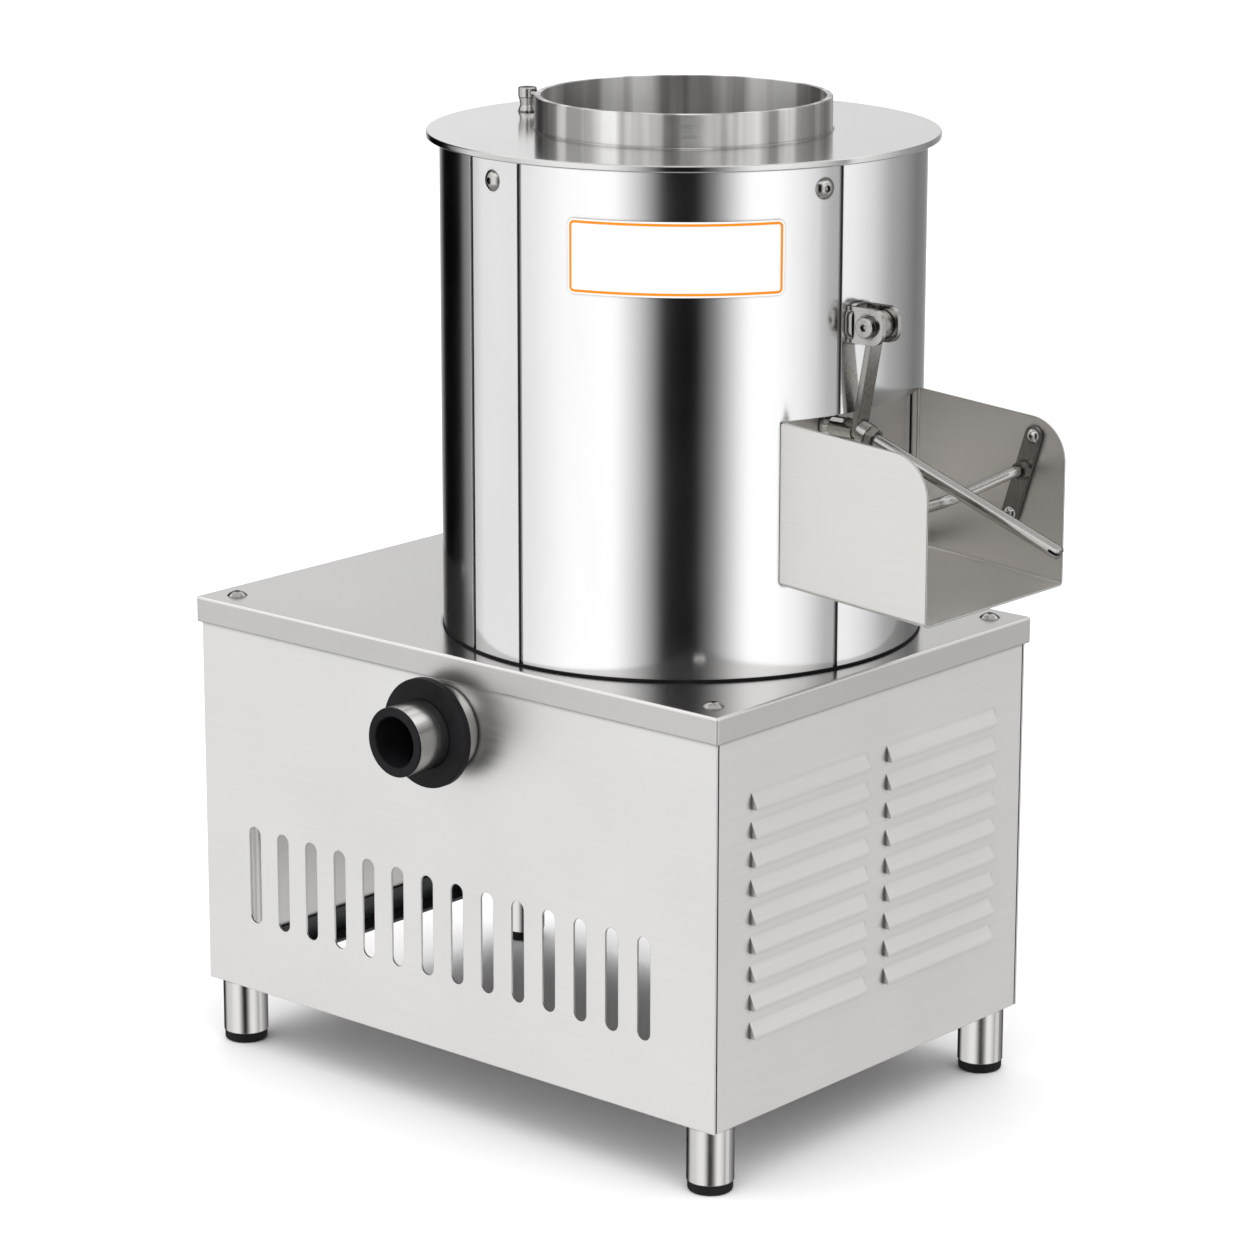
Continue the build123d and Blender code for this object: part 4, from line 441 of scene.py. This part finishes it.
def finishes():
    """Each finish, with the nodes that wear it."""
    return (
        # The panels get a wider painted shade, which darkens them under the deck's skirt and in their joints
        (
            brushed("brushed_front", ALONG_X, (0.97, 0.965, 0.95), 0.42, painted_shade=PANEL_PAINTED_SHADE_REACH),
            ("front_panel", "back_panel"),
        ),
        (
            brushed("brushed_side", ALONG_Y, (0.97, 0.96, 0.94), 0.44, painted_shade=PANEL_PAINTED_SHADE_REACH),
            ("left_panel", "right_panel"),
        ),
        # The deck's top and skirt at different painted shades, with a painted highlight along the bend
        (deck_sheet("brushed_deck", top=(0.62, 0.20), skirt=(0.73, 0.36)), ("deck",)),
        (
            brushed("brushed_chute", ALONG_X, (0.93, 0.91, 0.885), 0.34, cut=CUT_REACH),
            ("chute", "outlet_frame", "gate_plate"),
        ),
        (brushed("brushed_bar", ALONG_Z, (0.50, 0.48, 0.45), 0.27, cut=CUT_REACH), ("gate_arm",)),
        (brushed("brushed_strap", ALONG_Z, (0.33, 0.32, 0.30), 0.27, cut=CUT_REACH), ("stop_straps",)),
        (brushed("brushed_leg", ALONG_TUBE_Z, roughness=0.24, rim=0.2), ("legs",)),
        (brushed("brushed_drain", AROUND_TUBE_Y, roughness=0.22, rim=0.2), ("drain_pipe", "drain_socket")),
        (polished("polished_jacket", rim=0.6), ("jacket_front", "jacket_strip", "jacket_rear")),
        (drawn("drawn_collar", (0.93, 0.92, 0.90), 0.38), ("feed_collar",)),
        (turned_steel("drawn_rod", (0.54, 0.53, 0.51), 0.18, depth=0.001 * MM), ("stop_bar", "gate_handle")),
        (
            turned_steel("bright_fittings", (0.60, 0.59, 0.57), 0.12),
            ("button_screws", "strap_studs", "clevis_bracket", "clevis_pin", "clevis_nuts",
             "gate_boss", "water_inlet", "latch_post", "latch_cap"),
        ),
        (
            brushed("mill_sheet", ALONG_Z, (0.62, 0.62, 0.61), 0.40),
            ("chamber_wall", "chamber_floor", "jacket_battens"),
        ),
        (
            rubber("black_rubber"),
            ("feet", "base_gasket", "drain_liner", "drain_flange", "shaft_seal", "drive_belt"),
        ),
        (grit("abrasive"), ("wall_liner", "disc_grit")),
        (cast("cast_aluminium", grey(0.62), METAL, 0.45), ("disc_casting", "disc_nut", "motor_housing")),
        (
            cast("cast_iron", (0.17, 0.18, 0.19), 0.7, 0.5),
            ("bearing_housing", "driven_pulley", "drive_pulley"),
        ),
        (
            turned_steel("machined_steel", grey(0.62), 0.22),
            ("main_shaft", "motor_shaft", "shaft_bearings", "hex_bolts"),
        ),
        (painted("painted_steel", (0.045, 0.05, 0.055)), ("base_frame", "motor_mount", "motor_fan_cover")),
        (
            plastic("black_plastic", grey(0.02)),
            ("switch_box", "button_bezels", "terminal_box", "supply_gland"),
        ),
        (plastic("green_plastic", (0.02, 0.30, 0.07), 0.25, grain=300.0), ("start_button",)),
        (plastic("red_plastic", (0.50, 0.02, 0.015), 0.25, grain=300.0), ("stop_button",)),
    )


def dress(node, finish):
    """Puts one finish on a CAD node."""
    mesh = NODES[node].data
    mesh.materials.clear()
    mesh.materials.append(finish.material)


# Pieces


def piece(name, mesh, finish, body="frame"):
    """A new piece from a bmesh, riding on a body."""
    data = bpy.data.meshes.new(name)
    bmesh.ops.recalc_face_normals(mesh, faces=mesh.faces)
    mesh.to_mesh(data)
    mesh.free()
    data.materials.append(finish.material)
    made = bpy.data.objects.new(name, data)
    bpy.context.collection.objects.link(made)
    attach(made, body)
    return made


def bridge(mesh, a, b):
    """Faces between two closed rings of as many vertices."""
    for i in range(len(a)):
        after = (i + 1) % len(a)
        mesh.faces.new((a[i], b[i], b[after], a[after]))


def about_drum(angle, height, radius):
    """A point at a radius from the drum's axis."""
    return (DRUM.x + radius * cos(angle), DRUM.y + radius * sin(angle), height)


def on_plate(x, up, radius):
    """A point of the plate on the drum, along the curve and up from the plate's middle."""
    return about_drum((PLATE_MIDDLE + x) / JACKET_RADIUS, PLATE_LEVEL + up, radius)


def cover_outline():
    """The cover's section as (radius, height) points, with a narrow band beside each rounded edge."""
    outside = (COVER[1].x - COVER[0].x) / 2
    hole = (COLLAR[1].x - COLLAR[0].x) / 2 - WELD_COVER
    rounding = outside - COVER_EDGE
    under, over = COVER[0].z, COVER[1].z
    points = [(hole, under), (hole + COVER_BAND, under), (rounding - COVER_BAND, under)]
    for start, height in ((-pi / 2, under + COVER_EDGE), (0.0, over - COVER_EDGE)):
        for step in range(CORNER_STEPS + 1):
            angle = start + step / CORNER_STEPS * pi / 2
            points.append((rounding + COVER_EDGE * cos(angle), height + COVER_EDGE * sin(angle)))
    points += [(rounding - COVER_BAND, over), (hole + COVER_BAND, over), (hole, over)]
    return points


def fine_cover(finish):
    """The plate on top of the drum, turned with more sides, so that its bright rim is smooth."""
    outline = cover_outline()
    mesh = bmesh.new()
    rings = []
    for turn in range(COVER_TURNS):
        angle = 2 * pi * turn / COVER_TURNS
        rings.append([mesh.verts.new(about_drum(angle, z, radius)) for radius, z in outline])
    for a, b in zip(rings, rings[1:] + rings[:1]):
        bridge(mesh, a, b)
    for face in mesh.faces:
        face.smooth = True
    made = piece("fine_cover", mesh, finish)
    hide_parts("drum_cover")


def rounded_loop(width, height, corner):
    """A rectangle with round corners, about its middle, as an anticlockwise loop of points."""
    loop = []
    for turn, (side, up) in enumerate(((1, 1), (-1, 1), (-1, -1), (1, -1))):
        for step in range(CORNER_STEPS + 1):
            angle = (turn + step / CORNER_STEPS) * pi / 2
            x = side * (width / 2 - corner) + corner * cos(angle)
            loop.append((x, up * (height / 2 - corner) + corner * sin(angle)))
    return loop


def plate_edge(x):
    """Half the plate's height at a distance from its middle."""
    past = max(0.0, abs(x) - (PLATE_WIDTH / 2 - PLATE_CORNER))
    return PLATE_HEIGHT / 2 - PLATE_CORNER + sqrt(max(0.0, PLATE_CORNER**2 - past**2))


def drum_plate(finish):
    """The plate on the drum, curved with it and left bare, with its columns closer at its round ends."""
    back = JACKET_RADIUS + PLATE_LIFT
    front = back + PLATE_THICKNESS
    mesh = bmesh.new()
    rings = []
    for i in range(PLATE_COLUMNS + 1):
        x = -PLATE_WIDTH / 2 * cos(pi * i / PLATE_COLUMNS)
        half = plate_edge(x)
        corners = ((-half, back), (half, back), (half, front), (-half, front))
        rings.append([mesh.verts.new(on_plate(x, up, radius)) for up, radius in corners])
    for a, b in zip(rings, rings[1:]):
        bridge(mesh, a, b)
    mesh.faces.new(rings[0])
    mesh.faces.new(list(reversed(rings[-1])))
    piece("drum_plate", mesh, finish)


def subdivided(loop):
    """A loop with its long runs cut into short ones, so that it bends with the drum."""
    points = []
    for (x0, z0), (x1, z1) in zip(loop, loop[1:] + loop[:1]):
        cuts = PLATE_COLUMNS if hypot(x1 - x0, z1 - z0) > PLATE_CORNER else 1
        for i in range(cuts):
            share = i / cuts
            points.append((x0 + (x1 - x0) * share, z0 + (z1 - z0) * share))
    return points


def border_loop(inset):
    """The plate's outline, drawn in by an inset."""
    width, height = PLATE_WIDTH - 2 * inset, PLATE_HEIGHT - 2 * inset
    return subdivided(rounded_loop(width, height, PLATE_CORNER - inset))


def plate_border(finish):
    """The thin printed line round the plate."""
    outer, inner = border_loop(BORDER_INSET), border_loop(BORDER_INSET + BORDER_WIDTH)
    face = JACKET_RADIUS + PLATE_LIFT + PLATE_THICKNESS
    top = face + BORDER_RISE
    mesh = bmesh.new()
    rings = []
    for loop, radius in ((outer, face), (outer, top), (inner, top), (inner, face)):
        rings.append([mesh.verts.new(on_plate(x, up, radius)) for x, up in loop])
    for a, b in zip(rings, rings[1:]):
        bridge(mesh, a, b)
    piece("plate_border", mesh, finish)


# Floor, light and camera


def floor():
    """A plain pale floor, which the bright metal doesn't mirror."""
    finish = Finish("pale_floor", grey(0.93), NOT_METAL, 0.7)
    finish.roughen(finish.noise(even(3.0)), 0.65, 0.75)
    mesh = bpy.data.meshes.new("floor")
    half = FLOOR_SIZE / 2
    corners = [(-half, -half, 0), (half, -half, 0), (half, half, 0), (-half, half, 0)]
    mesh.from_pydata(corners, [], [(0, 1, 2, 3)])
    mesh.materials.append(finish.material)
    made = bpy.data.objects.new("floor", mesh)
    made.visible_glossy = False
    bpy.context.collection.objects.link(made)


def laid_over(nodes, below, share, level):
    """A grey laid over a colour by a share."""
    mix = nodes.add("ShaderNodeMix", data_type="RGBA")
    nodes.link(share, mix.inputs["Factor"])
    nodes.link(below, mix.inputs["A"])
    mix.inputs["B"].default_value = (*grey(level), 1.0)
    return mix.outputs["Result"]


def studio():
    """Soft white walls with dark gaps, a bright ceiling that mirrors dimmer, and a white backdrop."""
    world = bpy.data.worlds.new("studio")
    world.use_nodes = True
    bpy.context.scene.world = world
    nodes = Nodes(world.node_tree)
    split = nodes.add("ShaderNodeSeparateXYZ")
    nodes.link(nodes.add("ShaderNodeTexCoord").outputs["Generated"], split.inputs[0])
    rays = nodes.add("ShaderNodeLightPath").outputs

    def height(start, full):
        """A share that grows from 0 to 1 between two heights of the view's direction."""
        return nodes.spread(split.outputs["Z"], 0.0, 1.0, start, full, interpolation_type="SMOOTHSTEP")

    azimuth = nodes.combined("ShaderNodeMath", "ARCTAN2", split.outputs["Y"], split.outputs["X"])
    walls = [((degrees + 180) / 360, grey(level)) for degrees, level in (*ROOM, (180, ROOM[0][1]))]
    colour = nodes.ramp(nodes.spread(azimuth, 0.0, 1.0, -pi, pi), walls)
    zenith = height(ZENITH_FROM, ZENITH_FULL)
    mirrored = nodes.combined("ShaderNodeMath", "MULTIPLY", zenith, rays["Is Glossy Ray"])
    for share, level in (
        (height(OVERHEAD_FROM, OVERHEAD_FULL), OVERHEAD),
        (height(GROUND_FROM, GROUND_FULL), GROUND),
        (mirrored, ZENITH),
        (rays["Is Camera Ray"], BACKDROP),
    ):
        colour = laid_over(nodes, colour, share, level)
    nodes.link(colour, nodes.tree.nodes["Background"].inputs["Color"])
    bpy.context.scene.view_settings.view_transform = "Standard"


def lamp():
    """The wide lamp, which the bright metal doesn't mirror."""
    data = bpy.data.lights.new("lamp", "SUN")
    data.energy = LAMP_STRENGTH
    data.angle = radians(LAMP_WIDTH)
    made = bpy.data.objects.new("lamp", data)
    made.rotation_euler = (radians(LAMP_TILT), 0, radians(LAMP_AZIMUTH + 90))
    made.visible_glossy = False
    bpy.context.collection.objects.link(made)


def camera():
    """The camera at the photograph's viewing angle."""
    data = bpy.data.cameras.new("camera")
    data.lens = CAMERA_LENS
    data.shift_x, data.shift_y = CAMERA_SHIFT
    made = bpy.data.objects.new("camera", data)
    made.location = (DRUM.x + CAMERA_FROM_DRUM[0], DRUM.y + CAMERA_FROM_DRUM[1], CAMERA_HEIGHT)
    made.rotation_euler = (radians(90 - CAMERA_PITCH), 0, radians(CAMERA_YAW))
    bpy.context.collection.objects.link(made)
    bpy.context.scene.camera = made


camera()
studio()
lamp()
floor()
for finish, nodes in finishes():
    for node in nodes:
        dress(node, finish)
fine_cover(polished("polished_cover", (0.77, 0.77, 0.76), 0.13))
drum_plate(enamel("white_enamel", grey(0.82)))
plate_border(enamel("orange_enamel", (0.80, 0.25, 0.002)))
